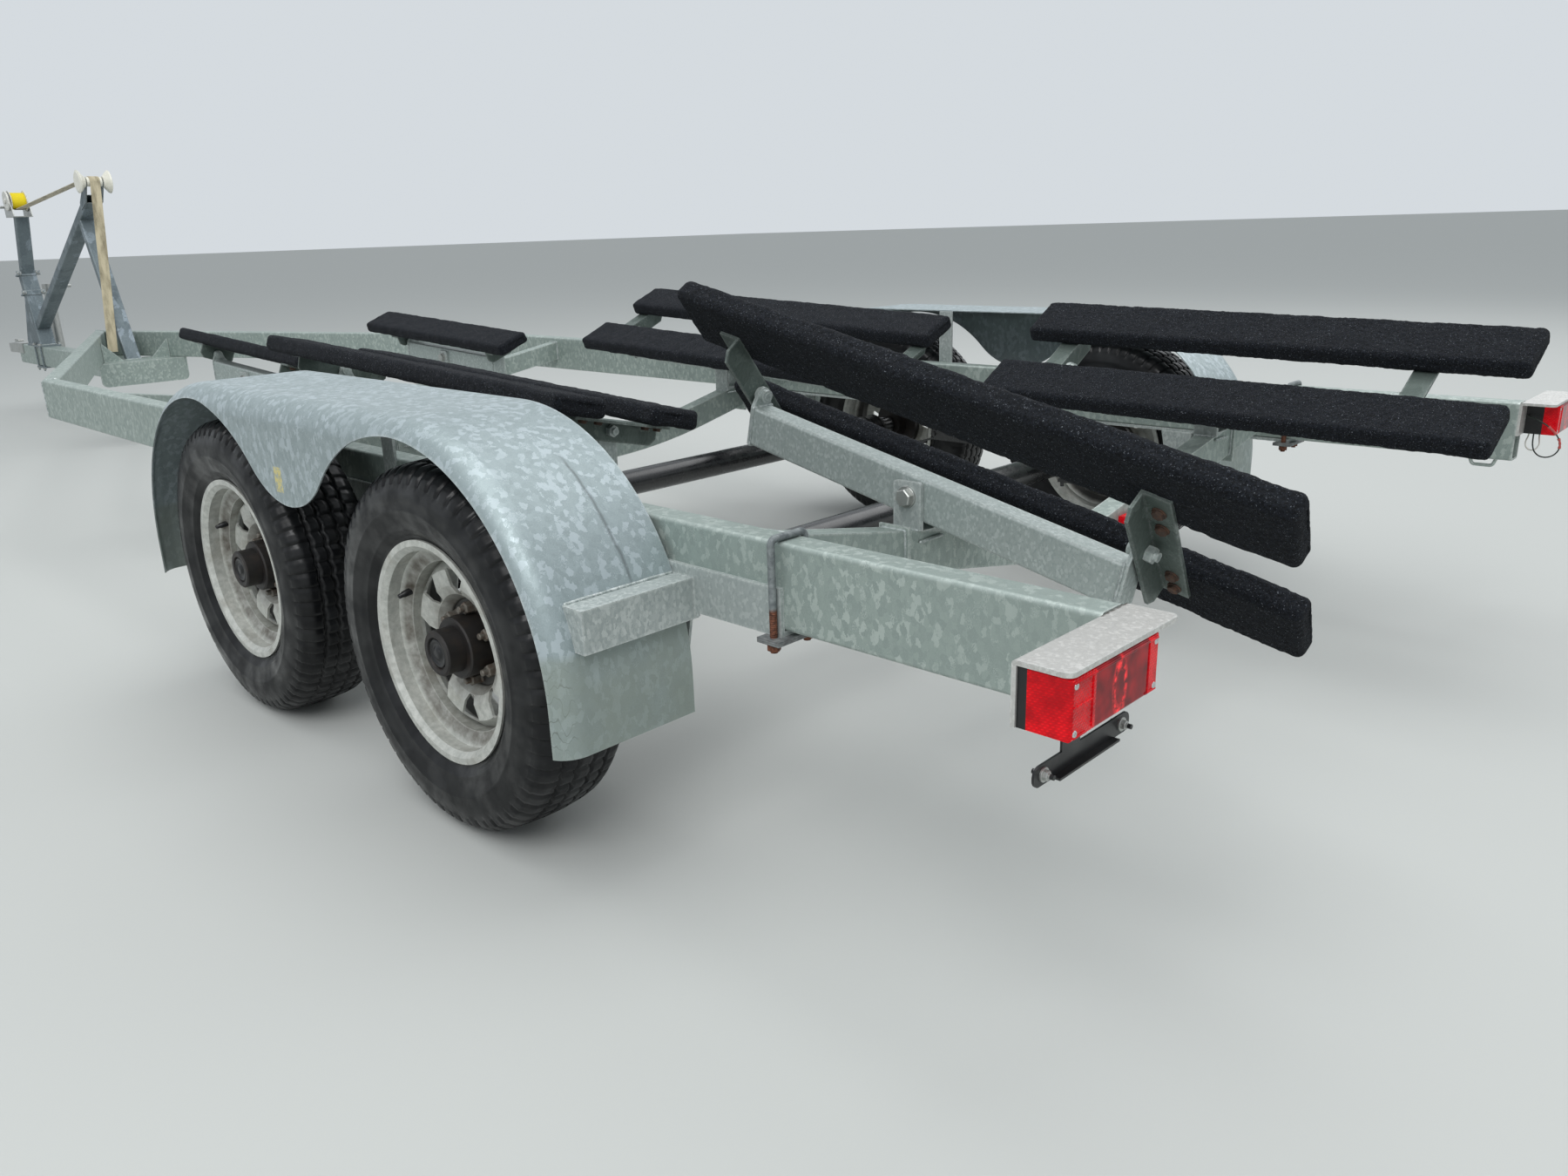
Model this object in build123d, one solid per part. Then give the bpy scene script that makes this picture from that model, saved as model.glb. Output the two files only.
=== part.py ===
"""Galvanised tandem boat trailer with pivoting carpeted bunks and a winch stand.

Millimetres. X runs forward, Y to the left, Z up from the ground. While the pieces are being made,
X is counted from the rear ends of the side rails. At the end everything moves so that the origin
lies on the ground under the middle of the trailer.
"""
import os
from math import atan2, cos, radians, sin, sqrt, tan

from build123d import *

# Side rails and the draw frame
RAIL_OUTSIDE = 1013
RAIL_WIDTH = 54
RAIL_DEPTH = 140
RAIL_WALL = 5
RAIL_TOP = 600
EDGE_RADIUS = 7
KINK_X = 4301
DRAW_ANGLE = 19.7

# Loop under each rail's rear end for a tie-down strap
TIE_LOOP_START = 34
TIE_LOOP_END = 94
TIE_LOOP_DROP = 18
TIE_LOOP_RADIUS = 4
TIE_LOOP_INSET = 17

# Tongue
TONGUE_WIDTH = 100
TONGUE_DEPTH = 125
TONGUE_WALL = 6
TONGUE_FRONT_X = 8676

# Coupler on the tongue's front end
BALL_RADIUS = 29.8
COUPLER_REACH = 245
BALL_Z = 418
COUPLER_WALL = 6
COUPLER_NOSE = 46

# Winch crossmember, an inverted channel under the draw beams
WINCH_CHANNEL_X = 6396
WINCH_CHANNEL_LENGTH = 240
WINCH_CHANNEL_HALF = 226
WINCH_CHANNEL_DEPTH = 126
WINCH_CHANNEL_PLATE = 8
GUSSET_PLATE = 6
GUSSET_FOOT_Y = 70
GUSSET_RISE = 105

# Winch stand
POST_FOOT_X = 8190
POST_LEAN = 13.2
POST_LENGTH = 483
POST_WIDTH = 92
POST_DEPTH = 60
POST_TOE_X = 8440
POST_FOOT_PLATE = 10
POST_FOOT_WIDTH = 128
POST_FOOT_BOLT_Y = 57
POST_CHEEK_RISE = 307
POST_CLAMPS = (343, 468)
UPPER_POST_FOOT_X = 8312
UPPER_POST_FOOT_Z = 850
UPPER_POST_DEPTH = 50
POST_HEAD_X = 8150
POST_TOP = 1265
CHEEK_PLATE = 5
STAND_WIDTH = 76
STAND_WALL = 4
BRACE_DEPTH = 50
BRACE_SLOPE = 26.1
BRACE_MEET_X = 6997
BRACE_MEET_Z = 1178
LEG_DEPTH = 40
LEG_FOOT_X = 6566
LEG_HEAD_X = 6898
ROLLER_X = 6639
ROLLER_Z = 1405
ROLLER_FLANGE_RADIUS = 60
ROLLER_WAIST_RADIUS = 25
ROLLER_HALF_LENGTH = 82
ROLLER_SHAFT_RADIUS = 8
EAR_PLATE = 6
DRUM_X = 8166
DRUM_Z = 1362
DRUM_SHAFT_RADIUS = 10
DRUM_FLANGE_RADIUS = 62
DRUM_HALF_WIDTH = 45
DRUM_SIDE_GAP = 3
WOUND_STRAP_RADIUS = 50
WINCH_PLATE = 5
CRANK_REACH = 82
CRANK_DROP = 34
STRAP_WIDTH = 50
STRAP_THICKNESS = 3
STRAP_FOOT_Y = 82
STRAP_FOOT_Z = 505

# Jack beside the tongue
JACK_X = 8476
JACK_Y = -148
JACK_PIVOT_Z = 398
JACK_OUTER_RADIUS = 29
JACK_INNER_RADIUS = 25
JACK_OUTER_BOTTOM = 205
JACK_OUTER_TOP = 800
JACK_INNER_TOP = 560
JACK_FOOT_SIZE = 140
JACK_FOOT_PLATE = 8
JACK_PIVOT_RADIUS = 25

# Axles, wheels and tyres
WHEEL_X = {"rear": 1161.5, "front": 2024}
WHEEL_Y = 1171
TYRE_RADIUS = 343
TYRE_HALF_WIDTH = 102.5
TREAD_HALF_WIDTH = 78
TYRE_WALL = 11
RIM_RADIUS = 190.5
RIM_FLANGE_RADIUS = 208
RIM_HALF_WIDTH = 82.5
RIM_SHEET = 4
DISC_PLATE = 5
DISC_CROWN = 30
RIM_WINDOWS = 8
AXLE_RADIUS = 38
AXLE_WALL = 5
AXLE_TUBE_END = 1046
SPINDLE_RADIUS = 22.5
HUB_RADIUS = 57.5
HUB_CAP_RADIUS = 42.5
HUB_FLANGE_RADIUS = 88
HUB_FLANGE_PLATE = 14
HUB_CAP_END = 82.5
RUNNING_GAP = 0.05
SEAT_GAP = 0.3

# Leaf springs under the axles
SPRING_Y = 985
SPRING_HALF_LENGTH = 320
SPRING_CAMBER = 58
LEAF_THICKNESS = 7
LEAF_WIDTH = 45
SPRING_EYE_RADIUS = 17
EYE_BOLT_RADIUS = 8
SPRING_SEAT_PAD = 8
SEAT_HALF_LENGTH = 35
HANGER_PLATE = 6
EQUALISER_RISE = 34

# Angle rails that carry the axles, clamped under the side rails
SUB_RAIL_START = 526
SUB_RAIL_END = 2686
SUB_RAIL_PLATE = 8
SUB_RAIL_RISE = 78
CLAMP_X = (536, 2636)
CLAMP_ROD_RADIUS = 6

# Fenders
FENDER_RADIUS = 425.5
FENDER_OUTSIDE = 1295
FENDER_ROLL = 50
FENDER_SHEET = 3
FENDER_SIDE_GAP = 1
FENDER_ARCH_RADIUS = 395
FENDER_SKIRT_BOTTOM = 560
FENDER_FLAP_BOTTOM = 272
FENDER_TUBE = 71
FENDER_TUBE_TOP = 512
FENDER_TUBE_REACH = 70
FENDER_TUBE_END = 1245

# Rear lamps and their guards
GUARD_PLATE = 6
GUARD_OUTSIDE = 1206
GUARD_LENGTH = 73
LAMP_INSIDE = 1010
LAMP_OUTSIDE = 1203
LAMP_TOP = 592
LAMP_DEPTH = 71
LAMP_BASE = 12
LAMP_BACK = 42
LAMP_BACK_WIDTH = 105
PLATE_BOLT_SPACING = 177.8
PLATE_BOLT_RADIUS = 3.175
PLATE_BAR_BACK = 22
PLATE_BAR_SHEET = 3
PLATE_BAR_MIDDLE = 1079.5
PLATE_BAR_Z = 456
PLATE_BAR_DEPTH = 26

# Wires that hang in loops at the right lamp, from its base and back into its underside
WIRE_RADIUS = 1.6
LONG_WIRE = [(-12, -1010, 566), (-12, -997, 566), (-20, -988, 565), (-33, -983, 561), (-48, -982, 554),
             (-63, -983, 544), (-77, -985, 530), (-87, -988, 513), (-88, -992, 494), (-79, -997, 478),
             (-64, -1003, 469), (-47, -1011, 468), (-33, -1019, 476), (-26, -1025, 490),
             (-24, -1029, 506), (-24, -1029, 521)]
SHORT_WIRE = [(-12, -1040, 521), (-12, -1040, 511), (-8, -1039, 500), (-8, -1037, 488), (-15, -1035, 479),
              (-26, -1034, 477), (-35, -1034, 484), (-38, -1035, 496), (-35, -1036, 509), (-35, -1036, 521)]

# Bunk hardware, shared by all the bunks
BEAM_WIDTH = 50
BEAM_DEPTH = 76
BEAM_WALL = 5
PIN_RADIUS = 8
CLEVIS_PLATE = 8
CLEVIS_SIDE_GAP = 1
CLEVIS_LENGTH = 60
CLEVIS_BASE = 5
CLEVIS_RISE = 28
END_PLATE = 8
ROLL_AXIS_RISE = 60
TAB_RADIUS = 16
COLLAR_LENGTH = 5
ANGLE_LEG = 51
ANGLE_PLATE = 6
ANGLE_HALF_SPAN = 135
BOARD_SEAT_RISE = 25
BOARD_WIDTH = 140
BOARD_THICKNESS = 46
BOARD_EDGE_RADIUS = 8
BOARD_SPACING = 270
FRONT_BOARD_HALF_SPAN = 62

# Crossmembers: centre X, height of the tube's centre line at the rails, slope in degrees, and the
# radius that the centre line is swept to in the middle (0 for a plain mitre)
CROSS_WIDTH = 50
CROSS_DEPTH = 75
CROSS_WALL = 5
SPLICE_PLATE = 6
SPLICE_Y = 668
SPLICE_HANG = 20
CROSSMEMBERS = {
    "rear": {"x": 586, "end_z": 557, "slope": 10.6, "sweep": 0},
    "middle": {"x": 2356, "end_z": 557, "slope": 13.0, "sweep": 2100},
    "front": {"x": 3876, "end_z": 542, "slope": 9.3, "sweep": 0},
}

# Bunks: crossmember, side (+1 left), pin Y and Z, how far the beam and the boards reach ahead of
# and behind the pin, number of boards, and how far each lies pitched nose up and rolled outboard up
BUNKS = {
    "aft_left": dict(cross="rear", side=1, y=600, z=592, beam=(400, 415), board=(560, 660),
                     boards=2, pitch=12.5, roll=48),
    "aft_right": dict(cross="rear", side=-1, y=600, z=592, beam=(400, 415), board=(560, 660),
                      boards=2, pitch=1.5, roll=30),
    "mid_left": dict(cross="middle", side=1, y=620, z=612, beam=(330, 900), board=(415, 985),
                     boards=2, pitch=2.8, roll=13),
    "mid_right": dict(cross="middle", side=-1, y=620, z=612, beam=(480, 750), board=(565, 835),
                      boards=2, pitch=2.8, roll=24),
    "front_left": dict(cross="front", side=1, y=420, z=566, beam=(300, 370), board=(560, 520),
                       boards=1, pitch=3, roll=21),
    "front_right": dict(cross="front", side=-1, y=420, z=566, beam=(300, 370), board=(560, 520),
                        boards=1, pitch=3, roll=21),
}

# Worked out from the sizes above
BALL_X = TONGUE_FRONT_X + COUPLER_REACH
RAIL_INSIDE = RAIL_OUTSIDE - RAIL_WIDTH
RAIL_BOTTOM = RAIL_TOP - RAIL_DEPTH
TONGUE_TOP = RAIL_BOTTOM
TONGUE_BOTTOM = TONGUE_TOP - TONGUE_DEPTH
WINCH_CHANNEL_FRONT = WINCH_CHANNEL_X + WINCH_CHANNEL_LENGTH
NOSE_X = KINK_X + RAIL_OUTSIDE / tan(radians(DRAW_ANGLE))
FENDER_TOP = TYRE_RADIUS + FENDER_RADIUS
FENDER_INSIDE = RAIL_OUTSIDE + SUB_RAIL_PLATE + FENDER_SIDE_GAP
STRAP_FOOT_X = LEG_FOOT_X + LEG_DEPTH
COUPLER_TIP_X = BALL_X + COUPLER_NOSE


def block(x, y, z):
    """A plain block between two corners, each argument being a (low, high) pair."""
    size = (x[1] - x[0], y[1] - y[0], z[1] - z[0])
    middle = ((x[0] + x[1]) / 2, (y[0] + y[1]) / 2, (z[0] + z[1]) / 2)
    return Pos(*middle) * Box(*size)


def span(middle, width):
    """The (low, high) pair of a width laid about its middle."""
    return (middle - width / 2, middle + width / 2)


def rod(start, end, radius):
    """A round bar from one point to another."""
    run = Vector(*end) - Vector(*start)
    return extrude(Plane(origin=start, z_dir=run.normalized()) * Circle(radius), run.length)


def pipe(start, end, radius, bore):
    """A round tube from one point to another."""
    return rod(start, end, radius) - rod(start, end, bore)


def box_tube(start, end, across, width, depth, wall, radius):
    """A rectangular tube from one point to another, its width along the direction named across."""
    run = Vector(*end) - Vector(*start)
    plane = Plane(origin=start, x_dir=across, z_dir=run.normalized())
    outer = extrude(plane * RectangleRounded(width, depth, radius), run.length)
    return outer - extrude(plane * Rectangle(width - 2 * wall, depth - 2 * wall), run.length)


def face_xz(points, y):
    """A flat face from (x, z) points in the plane at one Y, facing +Y when extruded by a length."""
    return make_face(Polyline(*[(x, y, z) for x, z in points], close=True))


def slab_xz(points, y_low, y_high):
    """A plate with an (x, z) outline between two Y planes."""
    return extrude(face_xz(points, y_low), amount=y_high - y_low, dir=(0, 1, 0))


def slab_yz(points, x_low, x_high):
    """A plate with a (y, z) outline between two X planes."""
    outline = make_face(Polyline(*[(x_low, y, z) for y, z in points], close=True))
    return extrude(outline, amount=x_high - x_low, dir=(1, 0, 0))


def plan_slab(points, z_low, z_high):
    """A plate with an (x, y) outline between two heights."""
    outline = make_face(Polyline(*[(x, y, z_low) for x, y in points], close=True))
    return extrude(outline, amount=z_high - z_low, dir=(0, 0, 1))


def mirrored(shape):
    """The same piece on the other side of the trailer."""
    return mirror(shape, about=Plane.XZ)


def on_side(shape, side):
    """A piece made for the left side, kept there or mirrored to the right."""
    return shape if side > 0 else mirrored(shape)


def between(a, b, share):
    """The point that lies the given share of the way from one plan point to another."""
    return (a[0] + (b[0] - a[0]) * share, a[1] + (b[1] - a[1]) * share)


def mitred_tube(outer_a, outer_b, inner_b, inner_a):
    """A rail tube with cut ends, from the plan points of its outer and inner bottom edges."""
    share = RAIL_WALL / RAIL_WIDTH
    body = plan_slab([outer_a, outer_b, inner_b, inner_a], RAIL_BOTTOM, RAIL_TOP)
    long_edges = body.edges().filter_by(lambda e: abs(e.tangent_at(0).Z) < 0.01 and e.length > 1000)
    body = fillet(long_edges, EDGE_RADIUS)
    hollow = [between(outer_a, inner_a, share), between(outer_b, inner_b, share),
              between(outer_b, inner_b, 1 - share), between(outer_a, inner_a, 1 - share)]
    return body - plan_slab(hollow, RAIL_BOTTOM + RAIL_WALL, RAIL_TOP - RAIL_WALL)


def kink_points():
    """Plan points of the mitre where the rail turns in to become the draw beam."""
    outer = (KINK_X, RAIL_OUTSIDE)
    inner = (KINK_X - RAIL_WIDTH * tan(radians(DRAW_ANGLE / 2)), RAIL_INSIDE)
    return outer, inner


def draw_inside_y(x):
    """Y of the left draw beam's inner face at one X."""
    inner = kink_points()[1]
    return inner[1] - (x - inner[0]) * tan(radians(DRAW_ANGLE))


def tie_loop():
    """The round bar bent to a loop and welded under the rail, for a tie-down strap."""
    y = RAIL_INSIDE + TIE_LOOP_INSET
    high = RAIL_BOTTOM + TIE_LOOP_RADIUS - 1
    low = RAIL_BOTTOM - TIE_LOOP_DROP
    path = FilletPolyline((TIE_LOOP_START, y, high), (TIE_LOOP_START + 8, y, low),
                          (TIE_LOOP_END - 8, y, low), (TIE_LOOP_END, y, high), radius=9)
    bar = sweep(Plane(origin=path @ 0, z_dir=path % 0) * Circle(TIE_LOOP_RADIUS), path=path)
    return bar - block((0, TIE_LOOP_END + 50), (0, RAIL_OUTSIDE), (RAIL_BOTTOM, RAIL_TOP))


def rail():
    """The straight side rail, from its rear end to the kink, with its tie-down loop."""
    outer, inner = kink_points()
    return mitred_tube((0, RAIL_OUTSIDE), outer, inner, (0, RAIL_INSIDE)) + tie_loop()


def draw_beam():
    """The beam that runs in from the kink to the nose."""
    outer, inner = kink_points()
    nose_inside = NOSE_X - RAIL_WIDTH / sin(radians(DRAW_ANGLE))
    return mitred_tube(outer, (NOSE_X, 0), (nose_inside, 0), inner)


def jack_mount():
    """The plate on the tongue's side and the stub tube that the jack swivels on."""
    plate = block(span(JACK_X, 90), (-TONGUE_WIDTH / 2 - 8, -TONGUE_WIDTH / 2),
                  (TONGUE_BOTTOM + 5, TONGUE_TOP - 5))
    stub_end = JACK_Y + JACK_OUTER_RADIUS + 8
    stub = pipe((JACK_X, -TONGUE_WIDTH / 2 - 8, JACK_PIVOT_Z), (JACK_X, stub_end, JACK_PIVOT_Z),
                JACK_PIVOT_RADIUS, JACK_PIVOT_RADIUS - 4)
    return plate + stub


def tongue_tube():
    """The box tube under the nose that reaches forward to the coupler."""
    middle_z = TONGUE_TOP - TONGUE_DEPTH / 2
    tube = box_tube((WINCH_CHANNEL_FRONT, 0, middle_z), (TONGUE_FRONT_X, 0, middle_z), (0, 1, 0),
                    TONGUE_WIDTH, TONGUE_DEPTH, TONGUE_WALL, EDGE_RADIUS)
    return tube + jack_mount()


def coupler():
    """A pressed coupler: a channel over the tongue's end that narrows to the ball socket."""
    half = TONGUE_WIDTH / 2
    seat_x = TONGUE_FRONT_X - 110
    top = TONGUE_TOP + COUPLER_WALL
    side = [(seat_x, TONGUE_TOP - 60), (seat_x, top), (TONGUE_FRONT_X + 60, top),
            (BALL_X - 20, BALL_Z + BALL_RADIUS + COUPLER_WALL),
            (COUPLER_TIP_X, BALL_Z + BALL_RADIUS + COUPLER_WALL),
            (COUPLER_TIP_X, BALL_Z - 24), (BALL_X - 60, BALL_Z - 24),
            (TONGUE_FRONT_X + 12, TONGUE_TOP - 60)]
    body = slab_xz(side, -half - COUPLER_WALL, half + COUPLER_WALL)
    plan = [(seat_x, -half - COUPLER_WALL), (TONGUE_FRONT_X + 30, -half - COUPLER_WALL),
            (BALL_X - 30, -COUPLER_NOSE), (BALL_X, -COUPLER_NOSE), (BALL_X, COUPLER_NOSE),
            (BALL_X - 30, COUPLER_NOSE), (TONGUE_FRONT_X + 30, half + COUPLER_WALL),
            (seat_x, half + COUPLER_WALL)]
    low = TONGUE_TOP - 200
    high = TONGUE_TOP + 100
    limit = plan_slab(plan, low, high) + Pos(BALL_X, 0, (low + high) / 2) * Cylinder(
        COUPLER_NOSE, high - low)
    body = body & limit
    tongue_room = block((seat_x - 1, TONGUE_FRONT_X), (-half, half), (BALL_Z - 80, TONGUE_TOP))
    hollow = block((TONGUE_FRONT_X - 1, BALL_X - BALL_RADIUS - 26), (-half + 8, half - 8),
                   (BALL_Z - 80, BALL_Z + BALL_RADIUS - 4))
    socket = Pos(BALL_X, 0, BALL_Z) * Sphere(BALL_RADIUS)
    mouth = Pos(BALL_X, 0, BALL_Z - 30) * Cylinder(BALL_RADIUS, 60)
    latch = block((BALL_X - 120, BALL_X - 30), (-16, 16),
                  (BALL_Z + BALL_RADIUS + COUPLER_WALL - 2, BALL_Z + BALL_RADIUS + COUPLER_WALL + 26))
    return body - tongue_room - hollow - socket - mouth + fillet(latch.edges().filter_by(Axis.Y), 10)


def winch_crossmember():
    """The inverted channel under the draw beams, with the gussets and the eye that stand on it."""
    low = RAIL_BOTTOM - WINCH_CHANNEL_DEPTH
    half = WINCH_CHANNEL_HALF
    plate = WINCH_CHANNEL_PLATE
    front_half = draw_inside_y(WINCH_CHANNEL_FRONT) + RAIL_WIDTH / 2
    top = plan_slab([(WINCH_CHANNEL_X, -half), (WINCH_CHANNEL_FRONT, -front_half),
                     (WINCH_CHANNEL_FRONT, front_half), (WINCH_CHANNEL_X, half)],
                    RAIL_BOTTOM - plate, RAIL_BOTTOM)
    channel = top
    for x, reach in ((WINCH_CHANNEL_X, half), (WINCH_CHANNEL_FRONT - plate, front_half)):
        web = slab_yz([(-reach, RAIL_BOTTOM), (reach, RAIL_BOTTOM), (reach, low), (-reach, low)],
                      x, x + plate)
        bottom = web.edges().filter_by(Axis.X).group_by(Axis.Z)[0]
        channel = channel + fillet(bottom, 30)
    gusset_x = WINCH_CHANNEL_X + 90
    beam_y = draw_inside_y(gusset_x + GUSSET_PLATE)
    for side in (1, -1):
        gusset = slab_yz([(side * GUSSET_FOOT_Y, RAIL_BOTTOM), (side * beam_y, RAIL_BOTTOM),
                          (side * beam_y, RAIL_BOTTOM + GUSSET_RISE)],
                         gusset_x, gusset_x + GUSSET_PLATE)
        channel = channel + gusset
    eye = Pos(STRAP_FOOT_X, STRAP_FOOT_Y, RAIL_BOTTOM + 14) * Rot(90, 0, 0) * Torus(18, 5)
    return channel + eye


def brace_point(x):
    """The point of the brace's centre line at one X."""
    return (x, 0, BRACE_MEET_Z - (x - BRACE_MEET_X) * tan(radians(BRACE_SLOPE)))


def on_post():
    """The place of the lower post: at its foot on the tongue, leaning forward."""
    return Pos(POST_FOOT_X, 0, TONGUE_TOP) * Rot(0, POST_LEAN, 0)


def post_clamp(height):
    """A U-bolt round the lower post with the flat bar across its rear, at a height along the post."""
    half = POST_WIDTH / 2 + CLAMP_ROD_RADIUS + 1
    rear = -POST_DEPTH / 2
    front = POST_DEPTH / 2 + 14
    bar = block((rear - 8, rear), (-half - 14, half + 14), span(height, 28))
    bolt = rod((front, -half, height), (front, half, height), CLAMP_ROD_RADIUS)
    for y in (-half, half):
        bolt = bolt + rod((rear - 26, y, height), (front, y, height), CLAMP_ROD_RADIUS)
    return bar + bolt


def lower_post():
    """The wide tube on the tongue, its side plates down to the toe, and the U-bolts round it."""
    half = POST_WIDTH / 2
    tube = box_tube((0, 0, -40), (0, 0, POST_LENGTH), (0, 1, 0), POST_WIDTH, POST_DEPTH, STAND_WALL, 6)
    for height in POST_CLAMPS:
        tube = tube + post_clamp(height)
    post = on_post() * tube - block((POST_FOOT_X - 200, POST_FOOT_X + 200), (-100, 100),
                                    (TONGUE_TOP - 100, TONGUE_TOP + 1))
    cheek_top = (POST_FOOT_X + POST_CHEEK_RISE * tan(radians(POST_LEAN)), TONGUE_TOP + POST_CHEEK_RISE)
    outline = [(POST_FOOT_X, TONGUE_TOP + 1), (POST_TOE_X, TONGUE_TOP + 1), (POST_TOE_X, TONGUE_TOP + 35),
               (cheek_top[0] + POST_DEPTH / 2, cheek_top[1]), cheek_top]
    inset = half - 1
    return (post + slab_xz(outline, inset - CHEEK_PLATE, inset)
            + slab_xz(outline, -inset, CHEEK_PLATE - inset))


def upper_post():
    """The tube under the winch, which leans back out of the lower post."""
    lean = atan2(UPPER_POST_FOOT_X - POST_HEAD_X, POST_TOP - UPPER_POST_FOOT_Z)
    above = 60
    end = (POST_HEAD_X - above * tan(lean), 0, POST_TOP + above)
    tube = box_tube((UPPER_POST_FOOT_X, 0, UPPER_POST_FOOT_Z), end, (0, 1, 0),
                    STAND_WIDTH, UPPER_POST_DEPTH, STAND_WALL, 6)
    return tube - block((POST_HEAD_X - 200, POST_HEAD_X + 200), (-100, 100), (POST_TOP, POST_TOP + 200))


def winch_post():
    """The winch's post in its two tubes, with the foot plates bolted round the tongue."""
    clamped = (POST_FOOT_X - 70, POST_FOOT_X + 80)
    foot = block(clamped, span(0, POST_FOOT_WIDTH), (TONGUE_TOP, TONGUE_TOP + POST_FOOT_PLATE))
    toe = block((POST_FOOT_X, POST_TOE_X + 8), span(0, TONGUE_WIDTH),
                (TONGUE_TOP, TONGUE_TOP + POST_FOOT_PLATE))
    strap = block(clamped, span(0, POST_FOOT_WIDTH), (TONGUE_BOTTOM - POST_FOOT_PLATE, TONGUE_BOTTOM))
    post = lower_post() + upper_post() + foot + toe + strap
    for x in (clamped[0] + 15, clamped[1] - 15):
        for y in (-POST_FOOT_BOLT_Y, POST_FOOT_BOLT_Y):
            post = post + rod((x, y, TONGUE_BOTTOM - 28), (x, y, TONGUE_TOP + 28), 5)
    return post


def winch_brace():
    """The sloping brace from the post up to the bow roller, with the ears that hold the roller."""
    foot = brace_point(POST_FOOT_X)
    head = brace_point(ROLLER_X + 70)
    tube = box_tube(foot, head, (0, 1, 0), STAND_WIDTH, BRACE_DEPTH, STAND_WALL, 6)
    tube = tube - on_post() * block((-POST_DEPTH / 2, 400), (-100, 100), (-200, POST_LENGTH))
    root = brace_point(ROLLER_X + 150)
    ears = []
    for side in (1, -1):
        inner = side * STAND_WIDTH / 2
        outer = side * (STAND_WIDTH / 2 + EAR_PLATE)
        ear = slab_xz([(root[0], root[2] - 16), (root[0], root[2] + 22),
                       (ROLLER_X + 12, ROLLER_Z + 14), (ROLLER_X - 14, ROLLER_Z + 12),
                       (ROLLER_X - 14, ROLLER_Z - 16), (head[0] - 22, head[2] - 18)],
                      min(inner, outer), max(inner, outer))
        ears.append(ear - rod((ROLLER_X, -200, ROLLER_Z), (ROLLER_X, 200, ROLLER_Z),
                              ROLLER_SHAFT_RADIUS + RUNNING_GAP))
    return tube + ears[0] + ears[1]


def winch_leg():
    """The rear strut from the winch crossmember up to the brace, cut to seat under it."""
    head = brace_point(LEG_HEAD_X)
    foot = (LEG_FOOT_X, 0, RAIL_BOTTOM)
    lean = atan2(head[0] - foot[0], head[2] - foot[2])
    start = (foot[0] - 60 * sin(lean), 0, foot[2] - 60 * cos(lean))
    leg = box_tube(start, head, (0, 1, 0), STAND_WIDTH, LEG_DEPTH, STAND_WALL, 6)
    leg = leg - block((foot[0] - 200, foot[0] + 200), (-100, 100), (foot[2] - 200, foot[2]))
    drop = BRACE_DEPTH / 2 / cos(radians(BRACE_SLOPE))
    a = brace_point(LEG_HEAD_X - 300)
    b = brace_point(LEG_HEAD_X + 300)
    above = slab_xz([(a[0], a[2] - drop), (b[0], b[2] - drop), (b[0], b[2] + 500),
                     (a[0], a[2] + 500)], -100, 100)
    return leg - above


def bow_roller():
    """The spool at the head of the brace: two bells and a waist on one turning shaft."""
    neck = STAND_WIDTH / 2 - 0.5
    bell = STAND_WIDTH / 2 + EAR_PLATE + 0.5
    waist = ROLLER_WAIST_RADIUS
    profile = [(0, -ROLLER_HALF_LENGTH), (ROLLER_FLANGE_RADIUS - 12, -ROLLER_HALF_LENGTH),
               (ROLLER_FLANGE_RADIUS, -ROLLER_HALF_LENGTH + 5),
               (ROLLER_FLANGE_RADIUS - 4, -ROLLER_HALF_LENGTH + 12), (waist + 8, -bell - 6),
               (waist + 3, -bell), (ROLLER_SHAFT_RADIUS, -bell), (ROLLER_SHAFT_RADIUS, -neck),
               (waist, -neck)]
    other = [(r, -y) for r, y in reversed(profile)]
    outline = make_face(Polyline(*[(r, y, 0) for r, y in profile + other], close=True))
    return Pos(ROLLER_X, 0, ROLLER_Z) * revolve(outline, Axis.Y)


def winch_frame():
    """The winch's side plates on the post's head, with the crank and the gear cover."""
    inside = DRUM_HALF_WIDTH + DRUM_SIDE_GAP
    outside = inside + WINCH_PLATE
    rear = DRUM_X - 45
    front = DRUM_X + CRANK_REACH + 24
    base = block((POST_HEAD_X - 60, front), (-outside, outside), (POST_TOP, POST_TOP + WINCH_PLATE))
    frame = base
    for side in (1, -1):
        plate = slab_xz([(POST_HEAD_X - 60, POST_TOP), (front, POST_TOP), (front, POST_TOP + 60),
                         (DRUM_X + 55, DRUM_Z + 40), (DRUM_X - 25, DRUM_Z + 40),
                         (rear, DRUM_Z - 10)],
                        min(side * inside, side * outside), max(side * inside, side * outside))
        frame = frame + plate
    bore = rod((DRUM_X, -100, DRUM_Z), (DRUM_X, 100, DRUM_Z), DRUM_SHAFT_RADIUS + RUNNING_GAP)
    crank_x = DRUM_X + CRANK_REACH
    crank_z = DRUM_Z - CRANK_DROP
    crank = rod((crank_x, -outside - 4, crank_z), (crank_x, outside + 46, crank_z), 8)
    arm = slab_xz([(crank_x - 12, crank_z - 14), (crank_x + 12, crank_z - 14),
                   (crank_x + 92, crank_z + 178), (crank_x + 70, crank_z + 188)],
                  outside + 40, outside + 46)
    grip = rod((crank_x + 80, outside + 40, crank_z + 180),
               (crank_x + 80, outside + 140, crank_z + 180), 13)
    return frame - bore + crank + arm + grip


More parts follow.
